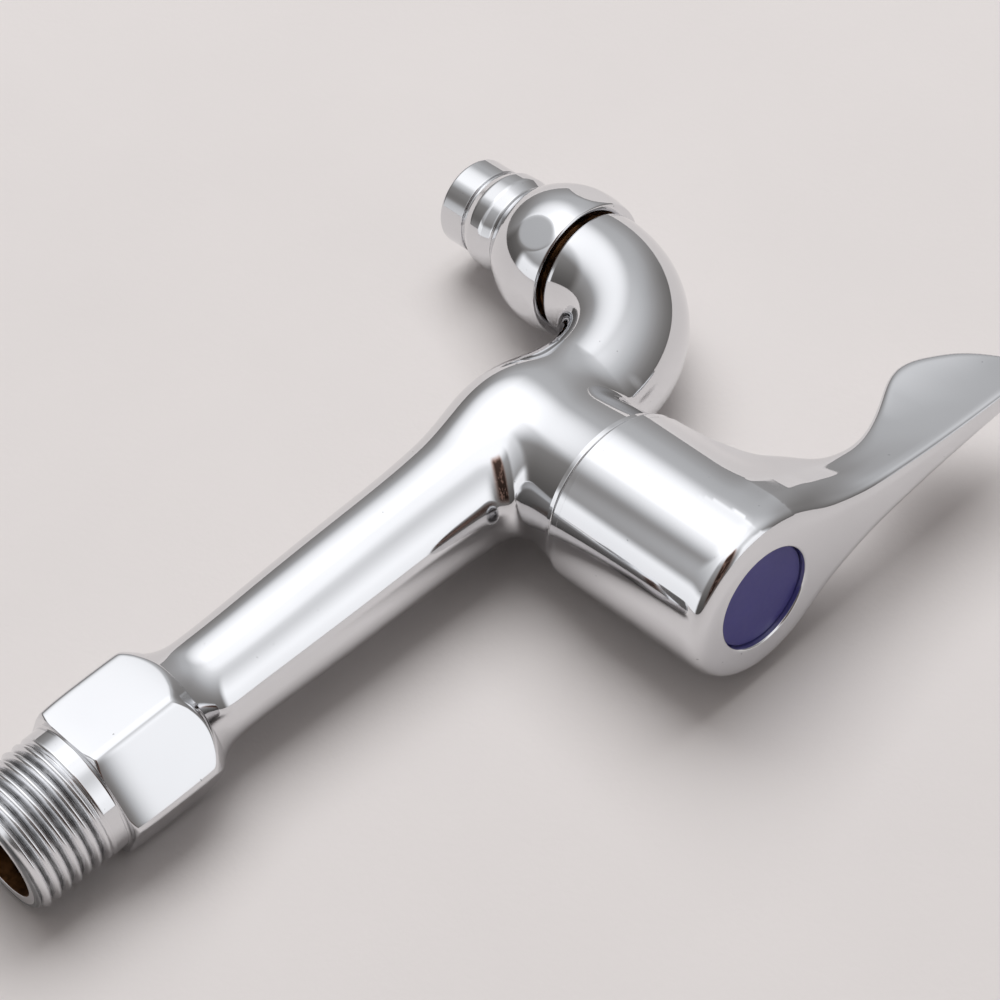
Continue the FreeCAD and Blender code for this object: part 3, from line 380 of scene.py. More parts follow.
def crossings(values, axis, low, step):
    """Where the surface crosses the grid's edges along an axis, the four cells around each of
    them, and whether the way out is up the axis."""
    cells = np.array(values.shape) - 1
    one = (axis + 1) % 3
    two = (axis + 2) % 3
    inside = np.moveaxis(values < 0, axis, 0)
    order = np.argsort([axis] + [other for other in range(3) if other != axis])
    place = np.argwhere(inside[:-1] != inside[1:])[:, order]
    for across in (one, two):
        place = place[(place[:, across] > 0) & (place[:, across] < cells[across])]
    after = place.copy()
    after[:, axis] += 1
    begin = values[tuple(place.T)]
    end = values[tuple(after.T)]
    points = np.array(low) + step * place
    points[:, axis] += step * begin / (begin - end)
    around = []
    for shift_one, shift_two in ((-1, -1), (0, -1), (0, 0), (-1, 0)):
        cell = place.copy()
        cell[:, one] += shift_one
        cell[:, two] += shift_two
        around.append(np.ravel_multi_index(tuple(cell.T), tuple(cells)))
    return points, around, begin < 0


def skin(field, low, high, step):
    """Points and four-cornered faces of the surface where the field is zero, a point to a cell."""
    counts = [int((top - bottom) / step) + 1 for bottom, top in zip(low, high)]
    axes = [bottom + step * np.arange(count) for bottom, count in zip(low, counts)]
    grid = np.stack(np.meshgrid(*axes, indexing="ij"), -1).reshape(-1, 3)
    values = field(grid).reshape(counts)
    cells = np.prod(np.array(counts) - 1)
    total = np.zeros((cells, 3))
    number = np.zeros(cells)
    quads = []
    for axis in range(3):
        crossing, around, outward = crossings(values, axis, low, step)
        for index in around:
            number += np.bincount(index, minlength=cells)
            for part in range(3):
                total[:, part] += np.bincount(index, crossing[:, part], cells)
        quad = np.stack(around, -1)
        quads.append(np.where(outward[:, None], quad, quad[:, ::-1]))
    used = np.flatnonzero(number)
    points = total[used] / number[used][:, None]
    rank = np.zeros(cells, int)
    rank[used] = np.arange(len(used))
    faces = rank[np.concatenate(quads)]
    return relaxed(field, onto(field, points), faces), faces.tolist()


def relaxed(field, points, faces, rounds=4):
    """Points evened out along the surface they lie on."""
    pull = 0.6
    starts = faces.ravel()
    ends = np.roll(faces, -1, 1).ravel()
    count = np.bincount(starts, minlength=len(points)) + np.bincount(ends, minlength=len(points))
    for _ in range(rounds):
        mean = np.zeros_like(points)
        for part in range(3):
            mean[:, part] += np.bincount(starts, points[ends, part], len(points))
            mean[:, part] += np.bincount(ends, points[starts, part], len(points))
        mean /= count[:, None]
        points = onto(field, points * (1 - pull) + mean * pull, 1)
    return onto(field, points, 2)


def trim(points, faces, side, settle=None):
    """Keeps the skin where side is positive. New points on the cut may be settled onto a line."""
    value = side(points)
    kept = []
    cut = {}
    fresh = []
    for face in faces:
        corners = []
        for start, end in zip(face, face[1:] + face[:1]):
            if value[start] > 0:
                corners.append(start)
            if (value[start] > 0) != (value[end] > 0):
                key = (min(start, end), max(start, end))
                if key not in cut:
                    along = value[start] / (value[start] - value[end])
                    cut[key] = len(points) + len(fresh)
                    fresh.append(points[start] + (points[end] - points[start]) * along)
                corners.append(cut[key])
        if len(corners) > 2:
            kept.append(corners)
    ring = np.arange(len(points), len(points) + len(fresh))
    fresh = np.array(fresh)
    if settle:
        fresh = settle(fresh)
    return np.concatenate([points, fresh]), kept, ring


# Turned forms

class Axis:
    """The axis that a form is turned about; angles count from its first side to its second."""

    def __init__(self, middle, first, second, along):
        self.middle = np.array(middle, float)
        self.sides = np.array([first, second, along], float)

    def place(self, radius, height, angles):
        """Points at a radius and a height for each angle."""
        first = radius * np.cos(angles)
        second = radius * np.sin(angles)
        return self.middle + np.stack(np.broadcast_arrays(first, second, height), -1) @ self.sides

    def turn(self, outward, around, upward, angles):
        """Directions given by how far they point outward, around and upward."""
        first = outward * np.cos(angles) - around * np.sin(angles)
        second = outward * np.sin(angles) + around * np.cos(angles)
        return unit(np.stack(np.broadcast_arrays(first, second, upward), -1) @ self.sides)

    def angles(self, points):
        """The angle of each point."""
        local = (points - self.middle) @ self.sides.T
        return np.arctan2(local[:, 1], local[:, 0])


def roundings(places, radii, closed):
    """For each corner of an outline: where its rounding starts, the corner, and where it ends."""
    least = 0.06
    most = 0.48
    straight = 0.9999
    pieces = []
    for index, (corner, radius) in enumerate(zip(places, radii)):
        if not closed and index in (0, len(places) - 1):
            pieces.append((corner, corner, corner))
            continue
        back = places[index - 1] - corner
        ahead = places[(index + 1) % len(places)] - corner
        back_length = np.linalg.norm(back)
        ahead_length = np.linalg.norm(ahead)
        cosine = np.clip(back @ ahead / back_length / ahead_length, -straight, straight)
        reach = max(radius, least) / math.tan(math.acos(cosine) / 2)
        reach = min(reach, most * back_length, most * ahead_length)
        start = corner + back / back_length * reach
        pieces.append((start, corner, corner + ahead / ahead_length * reach))
    return pieces


def outline(corners, closed=False, spacing=1.5):
    """Rows of radius, height and direction along an outline, whose corners are given as
    radius, height and, if they are round, the rounding."""
    arc_spacing = 0.25
    places = np.array([corner[:2] for corner in corners], float)
    radii = [corner[2] if len(corner) > 2 else 0.0 for corner in corners]
    pieces = roundings(places, radii, closed)
    rows = []
    for index, (start, corner, end) in enumerate(pieces):
        if (start != end).any():
            steps = max(3, int(np.linalg.norm(end - start) / arc_spacing) + 2)
            for along in np.linspace(0, 1, steps):
                left = 1 - along
                place = start * left ** 2 + corner * 2 * along * left + end * along ** 2
                rows.append((place, (corner - start) * left + (end - corner) * along))
        if index == len(pieces) - 1 and not closed:
            break
        follow, _, beyond = pieces[(index + 1) % len(pieces)]
        run = follow - end
        steps = max(1, int(np.linalg.norm(run) / spacing))
        if (start == end).all():
            rows.append((end, run))
        for along in range(1, steps):
            rows.append((end + run * along / steps, run))
        if (follow == beyond).all():
            rows.append((follow, run))
    table = []
    for (radius, height), (across, up) in rows:
        size = math.hypot(across, up)
        table.append((radius, height, up / size, -across / size))
    return table


class Shell:
    """Points, directions and faces of one piece in millimetres, before it becomes a mesh."""

    def __init__(self):
        self.points = []
        self.directions = []
        self.faces = []
        self.finishes = []
        self.count = 0

    def add(self, points, directions, faces=()):
        """Adds points, and chromed faces that count from the first of them."""
        start = self.count
        self.points.append(points)
        self.directions.append(directions)
        self.faces.extend([[start + corner for corner in face] for face in faces])
        self.finishes.extend([CHROME] * len(faces))
        self.count += len(points)
        return np.arange(start, self.count)

    def bridge(self, lower, upper, finish):
        """Faces between two rings of as many points."""
        following = np.roll(lower, -1)
        above = np.roll(upper, -1)
        self.faces.extend(np.stack([lower, following, above, upper], -1).tolist())
        self.finishes.extend([finish] * len(lower))

    def close(self, ring, axis, corners, inner=CHROME):
        """Goes on from a ring along an outline turned about an axis, and shuts the end."""
        inside = corners[0][0] - 1
        angles = axis.angles(np.concatenate(self.points)[ring])
        order = np.argsort(angles)
        angles = angles[order]
        previous = ring[order]
        for radius, height, outward, upward in outline(corners):
            place = axis.place(radius, height, angles)
            current = self.add(place, axis.turn(outward, 0.0, upward, angles))
            self.bridge(previous, current, inner if radius < inside else CHROME)
            previous = current
        self.faces.append(previous.tolist())
        self.finishes.append(inner)

    def lathe(self, axis, corners, shape, finish_at, count, spacing):
        """A closed outline turned about an axis, its radius changed by a shape."""
        rows = outline(corners, True, spacing)
        angles = np.linspace(0, 2 * math.pi, count, endpoint=False)
        nudge = 0.004
        loops = []
        for radius, height, outward, upward in rows:
            here = shape(radius, height, angles)
            wider = (shape(radius + nudge, height, angles) - here) / nudge
            higher = (shape(radius, height + nudge, angles) - here) / nudge
            further = (shape(radius, height, angles + nudge) - here) / nudge
            around = -further / here * outward
            along = wider * upward - higher * outward
            place = axis.place(here, height, angles)
            loops.append(self.add(place, axis.turn(outward, around, along, angles)))
        for row, (lower, upper) in enumerate(zip(loops, loops[1:] + loops[:1])):
            self.bridge(lower, upper, finish_at(*rows[row][:2]))

    def mesh(self, name, materials):
        """The finished object, in metres."""
        data = bpy.data.meshes.new(name)
        data.from_pydata(np.concatenate(self.points) * METRE, [], self.faces)
        for made in materials:
            data.materials.append(made)
        data.polygons.foreach_set("material_index", self.finishes)
        data.polygons.foreach_set("use_smooth", [True] * len(self.faces))
        data.update()
        data.normals_split_custom_set_from_vertices(np.concatenate(self.directions))
        made = bpy.data.objects.new(name, data)
        bpy.context.scene.collection.objects.link(made)
        return made


def off_middle(angles):
    """How far each angle is from the middle of its side of a hexagon."""
    return np.mod(angles, math.pi / 3) - math.pi / 6


def flats(radius, angles, corner):
    """Radius of a hexagon with flats at that distance from the axis, at each angle."""
    across = off_middle(angles)
    beside = math.pi / 3 - np.abs(across)
    return radius / smooth_max(np.cos(across), np.cos(beside), corner)


# The pieces

def casting_form(size):
    """The field of the barrel, the head and the elbow."""
    hub = size["hub_distance"]
    bend = size["elbow_bend"]
    start = size["elbow_start"]
    narrow = size["elbow_radius"]
    wide = size["spout_radius"]
    barrel = curve([
        (-72.5, 11.4), (-70.3, 10.0), (-68, 8.9), (-64, 8.42), (-50, 8.78), (-34, 9.2), (-20, 9.62),
        (-11, 10.4), (-3, 11.1), (5, 10.8), (start, narrow), (start + 5, narrow),
    ])
    squash = 1.15

    def field(points):
        """How far outside the casting each point lies, near enough to a distance."""
        x, y, z = points.T
        f = -hub - y

        # Barrel, bend and spout are one pipe that widens around the bend
        straight = np.hypot(x, z) - barrel(f)
        around = np.arctan2(f - start, z + bend)
        widening = (wide - narrow) * ease(around, 0, math.pi / 2)
        curved = np.hypot(x, np.hypot(f - start, z + bend) - bend) - narrow - widening
        down = np.hypot(x, f - start - bend) - wide
        pipe = np.where(f < start, straight, np.where(z > -bend, curved, down))

        # The head is a ball below the axis and swells into the boss above it
        swell = np.clip(z / size["boss_height"], 0, 1) ** 2
        radius = size["head_radius"] + (size["boss_radius"] - size["head_radius"]) * swell
        head = np.hypot(np.hypot(x, f), squash * np.minimum(z, 0)) - radius

        # The hollow between the two is widest under the barrel's end
        crook = (1 - ease(f, -8, 10)) * (1 - ease(z, -6, 4))
        return smooth_min(pipe, head, 5 + 4 * crook)

    return field


def inlet_shape(size):
    """How the hexagon's flats and the thread change the turned outline of the inlet."""
    half = size["hexagon_length"] / 2
    shoulder = 0.02
    plain_land = 2.4
    full_depth = 3.8
    bore_side = 9
    crest_width = 0.015

    def shape(radius, height, angles):
        """The outline's radius at each angle, cut down by the flats or by the thread."""
        turned = radius + 0 * angles
        if height < shoulder:
            along = (height + half) / half
            crown = 0.05 * along ** 2 + 0.24 * along ** 4
            limit = flats(size["hexagon_flat"] - crown, angles, corner=0.1)
            return smooth_min(turned, limit, 0.5)
        if height > plain_land and radius > bore_side:
            half_turn = np.cos(math.pi * height / size["thread_pitch"] - angles / 2)
            ridge = np.sqrt(half_turn ** 2 + crest_width)
            deep = size["thread_depth"] * ease(height, plain_land, full_depth)
            return smooth_min(turned, size["thread_radius"] - deep * (1 - ridge), 0.1)
        return turned

    return shape


def inlet_finish(radius, height):
    """Chrome on the hexagon, duller chrome on the thread, and in the bore brass darkened as painted
    shade.
    """
    thread_start = 2.3
    thread_root = 8.9
    bore_mouth = 7.6
    if height > thread_start and radius > thread_root:
        return THREAD
    return BORE if radius < bore_mouth else CHROME


def spout_distance(size):
    """From the hexagon's shoulder to the spout's axis, where it points down."""
    return size["hub_distance"] + size["elbow_start"] + size["elbow_bend"]


def casting(size, materials):
    """The chromed casting: inlet thread, hexagon, barrel, head and elbow."""
    hub = size["hub_distance"]
    bend = size["elbow_bend"]
    back = -size["hexagon_length"]
    bore = size["barrel_bore"]
    top = size["boss_height"]
    bore_end = 13.3 - hub

    # The skin is cut where turned outlines go on from it
    spout_cut = -bend + 1.0
    barrel_cut = back + 0.4
    boss_cut = top - 0.9
    field = casting_form(size)
    low = (-14.6, -hub - 44.2, spout_cut - 1.3)
    high = (14.6, barrel_cut + 1.5, boss_cut + 1.2)
    points, faces = skin(field, low, high, step=0.55)
    rings = []
    for side in (
        lambda place: barrel_cut - place[:, 1],
        lambda place: boss_cut - place[:, 2],
        lambda place: place[:, 2] - spout_cut,
    ):
        points, faces, ring = trim(points, faces, side)
        rings.append(ring)
    shell = Shell()
    shell.add(points, unit(slope(field, points)), faces)
    inlet = Axis((0, 0, 0), Z, X, Y)
    shell.close(rings[0], inlet, [
        (9.9, barrel_cut), (bore, barrel_cut, 0.2), (bore, bore_end),
    ], BORE)
    rim = size["boss_radius"]
    shell.close(rings[1], Axis((0, -hub, 0), X, Y, Z), [
        (rim, boss_cut), (rim, top, 0.3), (9.6, top, 0.2), (9.6, 0.8, 0.3), (0.4, 0.8),
    ])
    lip = size["spout_radius"]
    shell.close(rings[2], Axis((0, -spout_distance(size), 0), X, -Y, -Z), [
        (lip, -spout_cut), (lip, bend, 0.5), (9.4, bend, 0.3), (9.4, bend + 8.6, 0.3),
        (6.4, bend + 8.6, 0.3), (6.4, bend - 3, 0.3), (0.4, bend - 3),
    ], BORE)
    crest = size["thread_radius"]
    tip = size["thread_end"]
    shell.lathe(inlet, [
        (bore + 0.1, back, 0.1), (10.75, back, 0.35), (12.15, back + 1.75, 2.0),
        (13.6, back + 3.9, 1.0), (13.6, -0.95, 0.2), (12.0, 0, 0.35), (crest, 0, 0.35),
        (crest, tip - 1.2, 0.25), (9.25, tip, 0.2), (7.4, tip, 0.3), (7.4, tip - 5.2, 0.4),
        (bore + 0.1, tip - 7, 0.5),
    ], inlet_shape(size), inlet_finish, count=288, spacing=0.19)
    return shell.mesh("tap_body", materials)


def nozzle(size, materials):
    """The chromed nozzle: ball with six wrench flats, neck, hose collar, clip groove, hose end."""
    bore = 5.0
    mouth = -47.5
    seat = -29.8
    top = -20.1
    middle = -24.1
    curve_radius = 15.0
    inset = size["ball_radius"] - curve_radius
    ball = []
    for lean in np.radians(np.arange(-45, 14, 3)):
        radius = inset + curve_radius * math.cos(lean)
        ball.append((radius, middle + curve_radius * math.sin(lean), curve_radius))

    def shape(radius, height, angles):
        """The outline's radius at each angle, cut down by the six flats."""
        return smooth_min(radius + 0 * angles, size["ball_flat"] / np.cos(off_middle(angles)), 0.15)

    def finish_at(radius, height):
        """Brass darkened as painted shade in the bore, chrome elsewhere."""
        return BORE if radius < bore + 0.2 else CHROME

    shell = Shell()
    shell.lathe(Axis((0, -spout_distance(size), 0), X, Y, Z), [
        (bore, mouth, 0.45), (7.65, mouth, 0.6), (7.65, -42.2, 0.3), (7.2, -42.2, 0.2),
        (7.2, -41.4, 0.2), (7.7, -41.4, 0.2), (8.5, -39.8, 1.6), (8.6, -37.2, 2.2),
        (7.9, -35.2, 0.8), *ball, (11.9, top, 0.4), (9.45, top, 0.15), (9.45, seat, 0.15),
        (bore, seat, 0.2),
    ], shape, finish_at, count=240, spacing=0.3)
    return shell.mesh("hose_nozzle_piece", materials)


def handle_form(size):
    """The field of the hub and the waisted lever."""
    hub_distance = size["hub_distance"]
    rim = size["hub_bottom"]
    face = size["face_height"]
    reach = size["lever_reach"]
    tip = (reach, size["lever_tip_width"])
    underside = curve([
        (11.0, 36.0), (12.5, 30.0), (14.5, 24.0), (16.2, 19.5), (18.2, 16.7), (21.3, 13.1),
        (25.9, 10.9), (29.1, 10.6), (33.5, 11.4), (36.4, 12.5), (40.4, 14.5), (44.2, 16.4),
        (46.6, 16.9), (48.6, 16.6), (52.6, 14.2), (56.1, 10.8), (58.1, 7.7), (59.8, 4.4),
        (61.0, 1.8),
    ])
    face_width = curve([(7.4, 11.6), (10, 10.5), (14, 8.6), (20, 6.2), (30, 4.2), (40, 2.95), tip])
    full_width = curve([(7.4, 12.7), (14, 10.0), (20, 7.2), (26, 5.1), (30, 4.3), (40, 2.95), tip])
    root_width = curve([(7.4, 8.2), (12, 8.0), (14, 7.5), (20, 5.9), (30, 4.2), (40, 2.95), tip])

    def field(points):
        """How far outside the handle each point lies, near enough to a distance."""
        x, y, z = points.T
        f = -hub_distance - y
        lower = (z - rim) / (face - rim)
        taper = (size["hub_radius"] - size["hub_top_radius"]) * lower
        hub = np.hypot(x, f) - size["hub_radius"] + taper

        # The lever's top climbs a little beyond the hub, and its underside dips and rises
        climb = 0.0115 * (np.sqrt((f - 14) ** 2 + 16) + f - 14)
        down = face + climb - z
        deep = underside(f)

        # It is narrow at the face, full below it, and slim again deep down at the root
        width = face_width(f)
        width = width + (full_width(f) - width) * ease(down, 0, 5)
        width = width + (root_width(f) - width) * ease(down, 8, 20)

        # Its flanks draw in downward and are slightly hollow
        fall = np.clip(down / deep, 0, 1)
        draft = 0.1 + 0.42 * ease(f, 14, 38) - 0.24 * ease(f, 42, 58)
        hollow = 0.4 - 0.25 * ease(f, 14, 34)
        flank = width * (1 - draft * fall) - hollow * np.sin(math.pi * fall)

        lever = smooth_max(np.sqrt(x * x + 0.09) - flank, down - deep, width)
        lever = smooth_max(lever, f - reach, 1.2)
        lever = np.maximum(lever, 3 - f)
        edge = 2.4 - 0.8 * ease(f, 8, 20) - 0.7 * ease(f, 20, 60)
        return smooth_max(smooth_min(hub, lever, 4.0), -down, 1.75 * edge)

    return field


def handle(size, materials):
    """The chromed handle: hub and lever in one casting, with the recess for the index cap."""
    hub = size["hub_distance"]
    face = size["face_height"]
    rim = size["hub_bottom"]
    recess = size["recess_radius"]
    outer = size["hub_radius"]
    cut = rim + 1.35
    ring_radius = recess + 0.7
    floor = face - 5.6
    field = handle_form(size)
    low = (-15.8, -hub - size["lever_reach"] - 1.5, rim + 0.1)
    high = (15.8, -hub + 15.8, face + 2.5)
    above = Axis((0, -hub, 0), X, Y, Z)
    points, faces = skin(field, low, high, step=0.42)
    points, faces, lower_ring = trim(points, faces, lambda place: place[:, 2] - cut)
    points, faces, upper_ring = trim(
        points, faces, lambda place: np.hypot(place[:, 0], place[:, 1] + hub) - ring_radius,
        lambda place: above.place(ring_radius, face, above.angles(place)),
    )
    shell = Shell()
    shell.add(points, unit(slope(field, points)), faces)
    shell.close(upper_ring, above, [
        (ring_radius, face), (recess, face, 0.35), (recess, floor, 0.3), (2.3, floor, 0.1),
        (2.3, floor - 2.1),
    ])
    shell.close(lower_ring, Axis((0, -hub, 0), X, -Y, -Z), [
        (outer, -cut), (outer, -rim, 0.35), (12.6, -rim, 0.3), (12.6, -40.1, 0.6),
        (7.9, -40.1, 0.6), (7.9, -32.4, 0.4), (5.75, -32.4, 0.2), (5.75, -42.1, 0.2),
        (2.3, -42.1, 0.1), (2.3, -42.15),
    ])
    return shell.mesh("handle_piece", materials)


class TAP_OT_body(bpy.types.Operator):
    """Builds the chromed casting with its thread, hexagon, barrel, head and elbow"""

    bl_idname = "tap.body"
    bl_label = "Build the body"

    def execute(self, context):
        finishes = context.scene.tap_finishes
        materials = [
            chrome_finish("body_chrome", finishes.chrome, finishes.polish, waves=0.9),
            # The bores get brass darkened as painted shade
            bare_brass("bore_brass", finishes.bore_brass, rough=0.45, dirt=0.1),
            thread_finish("thread_chrome", finishes.chrome, finishes.thread_polish),
        ]
        piece = casting(in_millimetres(context), materials)
        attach(piece, "valve_body")
        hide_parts("body_casting")
        return {"FINISHED"}


class TAP_OT_nozzle(bpy.types.Operator):
    """Builds the chromed hose nozzle under the elbow"""

    bl_idname = "tap.nozzle"
    bl_label = "Build the nozzle"

    def execute(self, context):
        finishes = context.scene.tap_finishes
        materials = [
            chrome_finish("nozzle_chrome", finishes.chrome, finishes.polish, waves=0.5),
            # The nozzle's bore gets brass darkened as painted shade
            bare_brass("nozzle_brass", finishes.bore_brass, rough=0.45, dirt=0.15),
        ]
        piece = nozzle(in_millimetres(context), materials)
        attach(piece, "valve_body")
        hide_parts("hose_nozzle")
        return {"FINISHED"}


class TAP_OT_handle(bpy.types.Operator):
    """Builds the chromed lever handle"""

    bl_idname = "tap.handle"
    bl_label = "Build the handle"

    def execute(self, context):
        finishes = context.scene.tap_finishes
        materials = [
            chrome_finish("handle_chrome", finishes.chrome, finishes.polish, waves=0.8),
        ]
        piece = handle(in_millimetres(context), materials)
        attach(piece, "lever")
        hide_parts("handle")
        return {"FINISHED"}


class TAP_OT_fittings(bpy.types.Operator):
    """Gives the index cap and the pieces inside the tap their finishes"""

    bl_idname = "tap.fittings"
    bl_label = "Finish the fittings"

    def execute(self, context):
        tints = context.scene.tap_finishes
        index = plain_finish("index_plastic", tints.index, 0.42, grain=900, depth=0.000004)
        fibre = plain_finish("gasket_fibre", tints.fibre, 0.7, grain=1800, depth=0.00003)
        rubber = plain_finish("seal_rubber", tints.rubber, 0.5, grain=2400, depth=0.00002)
        steel = plain_finish(
            "bright_steel", tints.steel, 0.28, grain=3000, depth=0.00001, metal=1.0,
        )
        plastic = plain_finish("white_plastic", tints.plastic, 0.4, grain=1500, depth=0.00001)
        ceramic = plain_finish("lapped_ceramic", tints.ceramic, 0.12, grain=2500, depth=0.000004)
        brass = bare_brass("turned_brass", tints.brass, rough=0.25, dirt=0.7)
        finish_of = {
            "index_cap": index,
            "headwork_gasket": fibre,
            "nozzle_washer": rubber,
            "seat_seal": rubber,
            "spindle_seal_lower": rubber,
            "spindle_seal_upper": rubber,
            "seal_support_ring": steel,
            "spindle_circlip": steel,
            "handle_screw": steel,
            "spring_washer": steel,
            "fixed_disc": ceramic,
            "moving_disc": ceramic,
            "spindle_thrust_washer": plastic,
            "spline_insert": plastic,
            "headwork_body": brass,
            "spindle": brass,
        }
        for node, made in finish_of.items():
            for slot in NODES[node].material_slots:
                slot.material = made
        return {"FINISHED"}


def direction(azimuth, elevation=0.0):
    """The direction at an azimuth about the table's upright and an elevation, in degrees."""
    turn = math.radians(azimuth)
    lean = math.radians(elevation)
    return math.sin(lean), -math.cos(turn) * math.cos(lean), math.sin(turn) * math.cos(lean)


def studio(tree):
    """The light by its direction: soft box overhead, two side panels and a dark corner."""
    ray = tree.node("ShaderNodeTexCoord", out=0)
    level = tree.vector("NORMALIZE", tree.vector("MULTIPLY", ray, (0.0, 1.0, 1.0)))
    upright = tree.vector("DOT_PRODUCT", ray, (1.0, 0.0, 0.0), out=1)
    elevation = tree.math("ARCSINE", upright) * math.degrees(1)

    def above(low, high):
        """A soft step up from one elevation to another."""
        return tree.step(elevation, low, high)

    def below(low, high):
        """A soft step down from one elevation to another."""
        return 1 - above(low, high)

    def sector(azimuth, half, soft):
        """The directions on both sides of an azimuth, with soft edges."""
        near = tree.vector("DOT_PRODUCT", level, direction(azimuth), out=1)
        aside = tree.math("ARCCOSINE", near) * math.degrees(1)
        return 1 - tree.step(aside, half - soft, half + soft)

    # The ceiling's ramp runs from 10 degrees below the horizon to straight up
    ceiling = tree.node("ShaderNodeValToRGB", {"stops": [
        (0.0, 0.05), (0.1, 0.095), (0.2, 0.12), (0.3, 0.16), (0.4, 0.215), (0.5, 0.285),
        (0.6, 0.36), (0.7, 0.465), (0.78, 0.62), (0.85, 0.66), (1.0, 0.67),
    ]}, {0: elevation / 100 + 0.1})
    toward_box = tree.vector("DOT_PRODUCT", ray, direction(-80, 57), out=1)
    box = tree.step(toward_box, math.cos(math.radians(34)), math.cos(math.radians(10)))
    dull = sector(-123, 17, 6) * below(45, 72) * 0.5
    dull = dull + sector(158, 22, 8) * below(58, 74) * 0.55
    glow = sector(-42, 26, 14) * above(-32, -12) * below(24, 44)
    tall_panel = sector(69, 13, 6) * below(16, 60)
    low_panel = sector(-161, 20, 5) * above(-35, -25) * below(17, 27)
    light = ceiling * 2.0 * (1 - dull) + box * 0.55 + glow * 0.14
    light = light + tall_panel * 0.93 + low_panel * 0.82

    # The dark corner has a few brown spots in it
    corner = sector(116, 22, 8) * above(-4, 12) * below(64, 74)
    cloud = tree.node("ShaderNodeTexNoise", sockets={"Vector": ray, "Scale": 7.0, "Detail": 3.0})
    light = light * (1 - corner * 0.93) + corner * tree.step(cloud, 0.55, 0.66) * 0.16

    # Dim light is warm, bright light cool, and scattered light weaker and warmer
    bright = tree.step(light, 0.0, 0.6)
    tint = tree.blend(bright, (1.0, 0.94, 0.9, 1.0), (0.985, 0.99, 1.01, 1.0))
    tint = tree.blend(corner, tint, (1.0, 0.62, 0.5, 1.0))
    scattered = tree.node("ShaderNodeLightPath", out=2)
    tint = tree.blend(scattered, tint, (1.03, 0.965, 0.94, 1.0))
    strength = light * (1 - scattered * (1 - SCATTERED_SHARE))
    lit = tree.node("ShaderNodeVectorMath", {"operation": "SCALE"}, {0: tint, "Scale": strength})
    seen = tree.node("ShaderNodeLightPath", out=0)
    return tree.blend(seen, lit, (0.72, 0.70, 0.69, 1.0))


def table_board(tint):
    """Smooth pale board, see-through from behind."""
    made, tree = material("table_board")
    mottle = tree.noise(24, 5, 0.6)
    fine = tree.noise(900, 3)
    board = tree.node("ShaderNodeBsdfPrincipled", sockets={
        "Base Color": tree.blend(mottle, opaque(tint, 0.96), opaque(tint, 1.02)),
        "Roughness": 0.62 + (fine - 0.5) * 0.1,
        "Normal": tree.bump(fine + mottle, 0.00003),
        "Specular IOR Level": 0.3,
    })
    behind = tree.node("ShaderNodeNewGeometry", out=6)
    clear = tree.node("ShaderNodeBsdfTransparent")
    tree.surface(tree.node("ShaderNodeMixShader", sockets={0: behind, 1: board, 2: clear}))
    return made


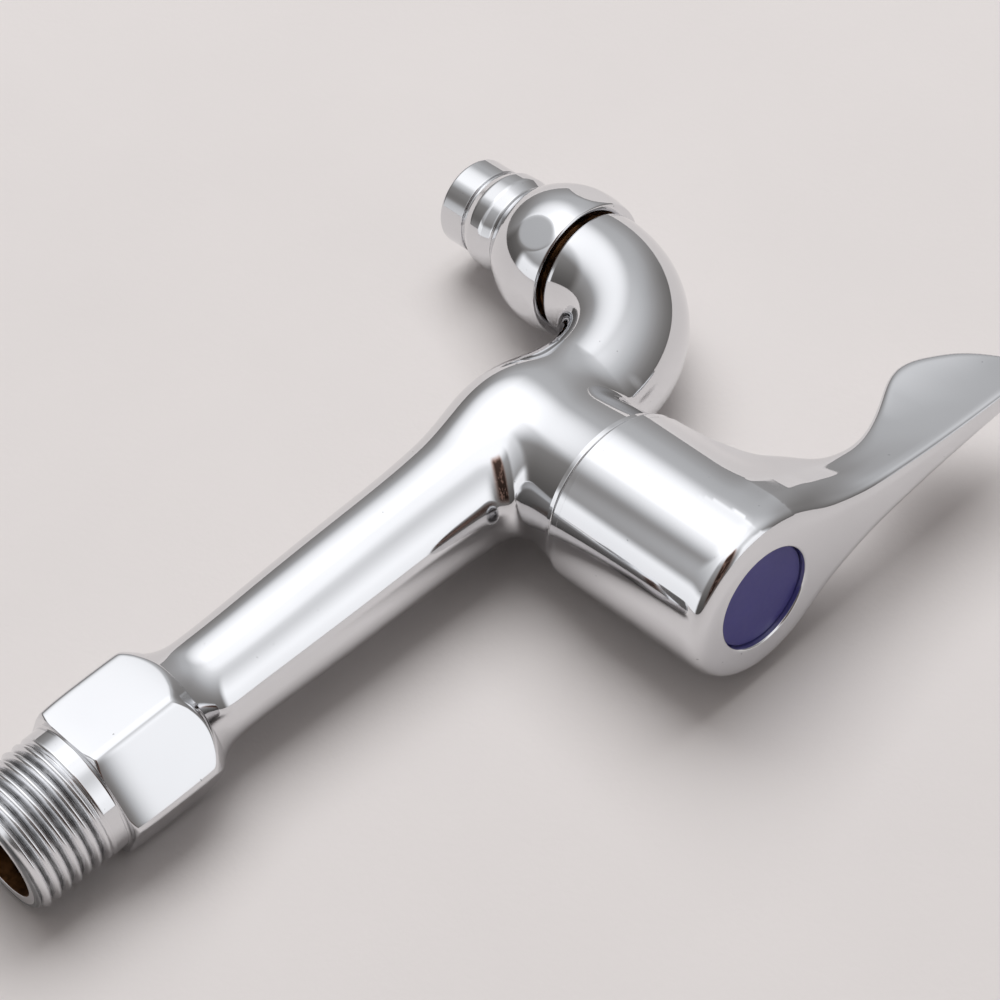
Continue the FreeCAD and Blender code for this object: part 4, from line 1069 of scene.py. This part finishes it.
class TAP_OT_stage(bpy.types.Operator):
    """Sets up the pale table, the studio light and the camera at the photograph's angle"""

    bl_idname = "tap.stage"
    bl_label = "Set up the stage"

    def execute(self, context):
        scene = context.scene
        scene.view_settings.view_transform = "Standard"
        scene.world = bpy.data.worlds.new("studio")
        tree = Tree(scene.world)
        sky = {"Color": studio(tree), "Strength": 1.0}
        backdrop = tree.node("ShaderNodeBackground", sockets=sky)
        tree.node("ShaderNodeOutputWorld", sockets={"Surface": backdrop})
        self.hang_softbox(scene)
        self.lay_table(scene)
        self.place_camera(scene)
        return {"FINISHED"}

    def hang_softbox(self, scene):
        """A soft box that lights the table and stays out of the chrome."""
        away = 2
        middle = Vector((0, -0.08, 0))
        toward = Vector((0.90, -0.34, -0.26)).normalized()
        data = bpy.data.lights.new("softbox", "AREA")
        data.size = 1.7
        data.energy = scene.tap_finishes.softbox_power
        data.color = (0.985, 0.99, 1.0)
        lamp = bpy.data.objects.new("softbox", data)
        scene.collection.objects.link(lamp)
        lamp.location = middle + toward * away
        lamp.rotation_euler = toward.to_track_quat("Z", "Y").to_euler()
        lamp.visible_glossy = False
        lamp.visible_camera = False

    def lay_table(self, scene):
        """The pale table, which touches the hexagon, the nozzle and the handle."""
        half = 1500.0
        height = -13.206
        forward_slope = 0.02257
        side_slope = 0.0647
        hub = scene.tap_sizes.hub_distance / METRE
        corners = []
        for y, z in ((-half, -half), (half, -half), (half, half), (-half, half)):
            corners.append((height - forward_slope * (-hub - y) - side_slope * z, y, z))
        data = bpy.data.meshes.new("table")
        data.from_pydata(np.array(corners) * METRE, [], [(0, 1, 2, 3)])
        data.materials.append(table_board(scene.tap_finishes.table))
        table = bpy.data.objects.new("table", data)
        scene.collection.objects.link(table)

    def place_camera(self, scene):
        """The camera where the photograph was taken from."""
        place = np.array((319.173, 96.202, 248.630)) * METRE
        back = unit(np.array((0.731, 0.396, 0.556)))
        up = unit(np.cross(back, (-0.126, -0.722, 0.680)))
        sides = np.stack([np.cross(up, back), up, back], 1)
        data = bpy.data.cameras.new("camera")
        data.lens = 103.5
        data.sensor_width = 36.0
        data.clip_start = 0.01
        camera = bpy.data.objects.new("camera", data)
        scene.collection.objects.link(camera)
        rows = [[*side, where] for side, where in zip(sides, place)]
        camera.matrix_world = Matrix(rows + [[0, 0, 0, 1]])
        scene.camera = camera


class TAP_PT_panel(bpy.types.Panel):
    """Lists the sizes and finishes, and builds the tap piece by piece"""

    bl_label = "Tap"
    bl_space_type = "VIEW_3D"
    bl_region_type = "UI"
    bl_category = "Tap"

    def draw(self, context):
        scene = context.scene
        for group in (scene.tap_sizes, scene.tap_finishes):
            column = self.layout.column()
            for name in type(group).__annotations__:
                column.prop(group, name)
        for step in STEPS:
            self.layout.operator(step.bl_idname)


STEPS = (TAP_OT_body, TAP_OT_nozzle, TAP_OT_handle, TAP_OT_fittings, TAP_OT_stage)
CLASSES = (TapSizes, TapFinishes, *STEPS, TAP_PT_panel)


def register():
    """Adds the classes and the scene's settings."""
    for each in CLASSES:
        bpy.utils.register_class(each)
    bpy.types.Scene.tap_sizes = PointerProperty(type=TapSizes)
    bpy.types.Scene.tap_finishes = PointerProperty(type=TapFinishes)


def unregister():
    """Takes the classes and the scene's settings away again."""
    del bpy.types.Scene.tap_finishes
    del bpy.types.Scene.tap_sizes
    for each in reversed(CLASSES):
        bpy.utils.unregister_class(each)


def main():
    """Builds the tap and its stage."""
    register()
    for step in STEPS:
        group, name = step.bl_idname.split(".")
        getattr(getattr(bpy.ops, group), name)()


if __name__ == "__main__":
    main()
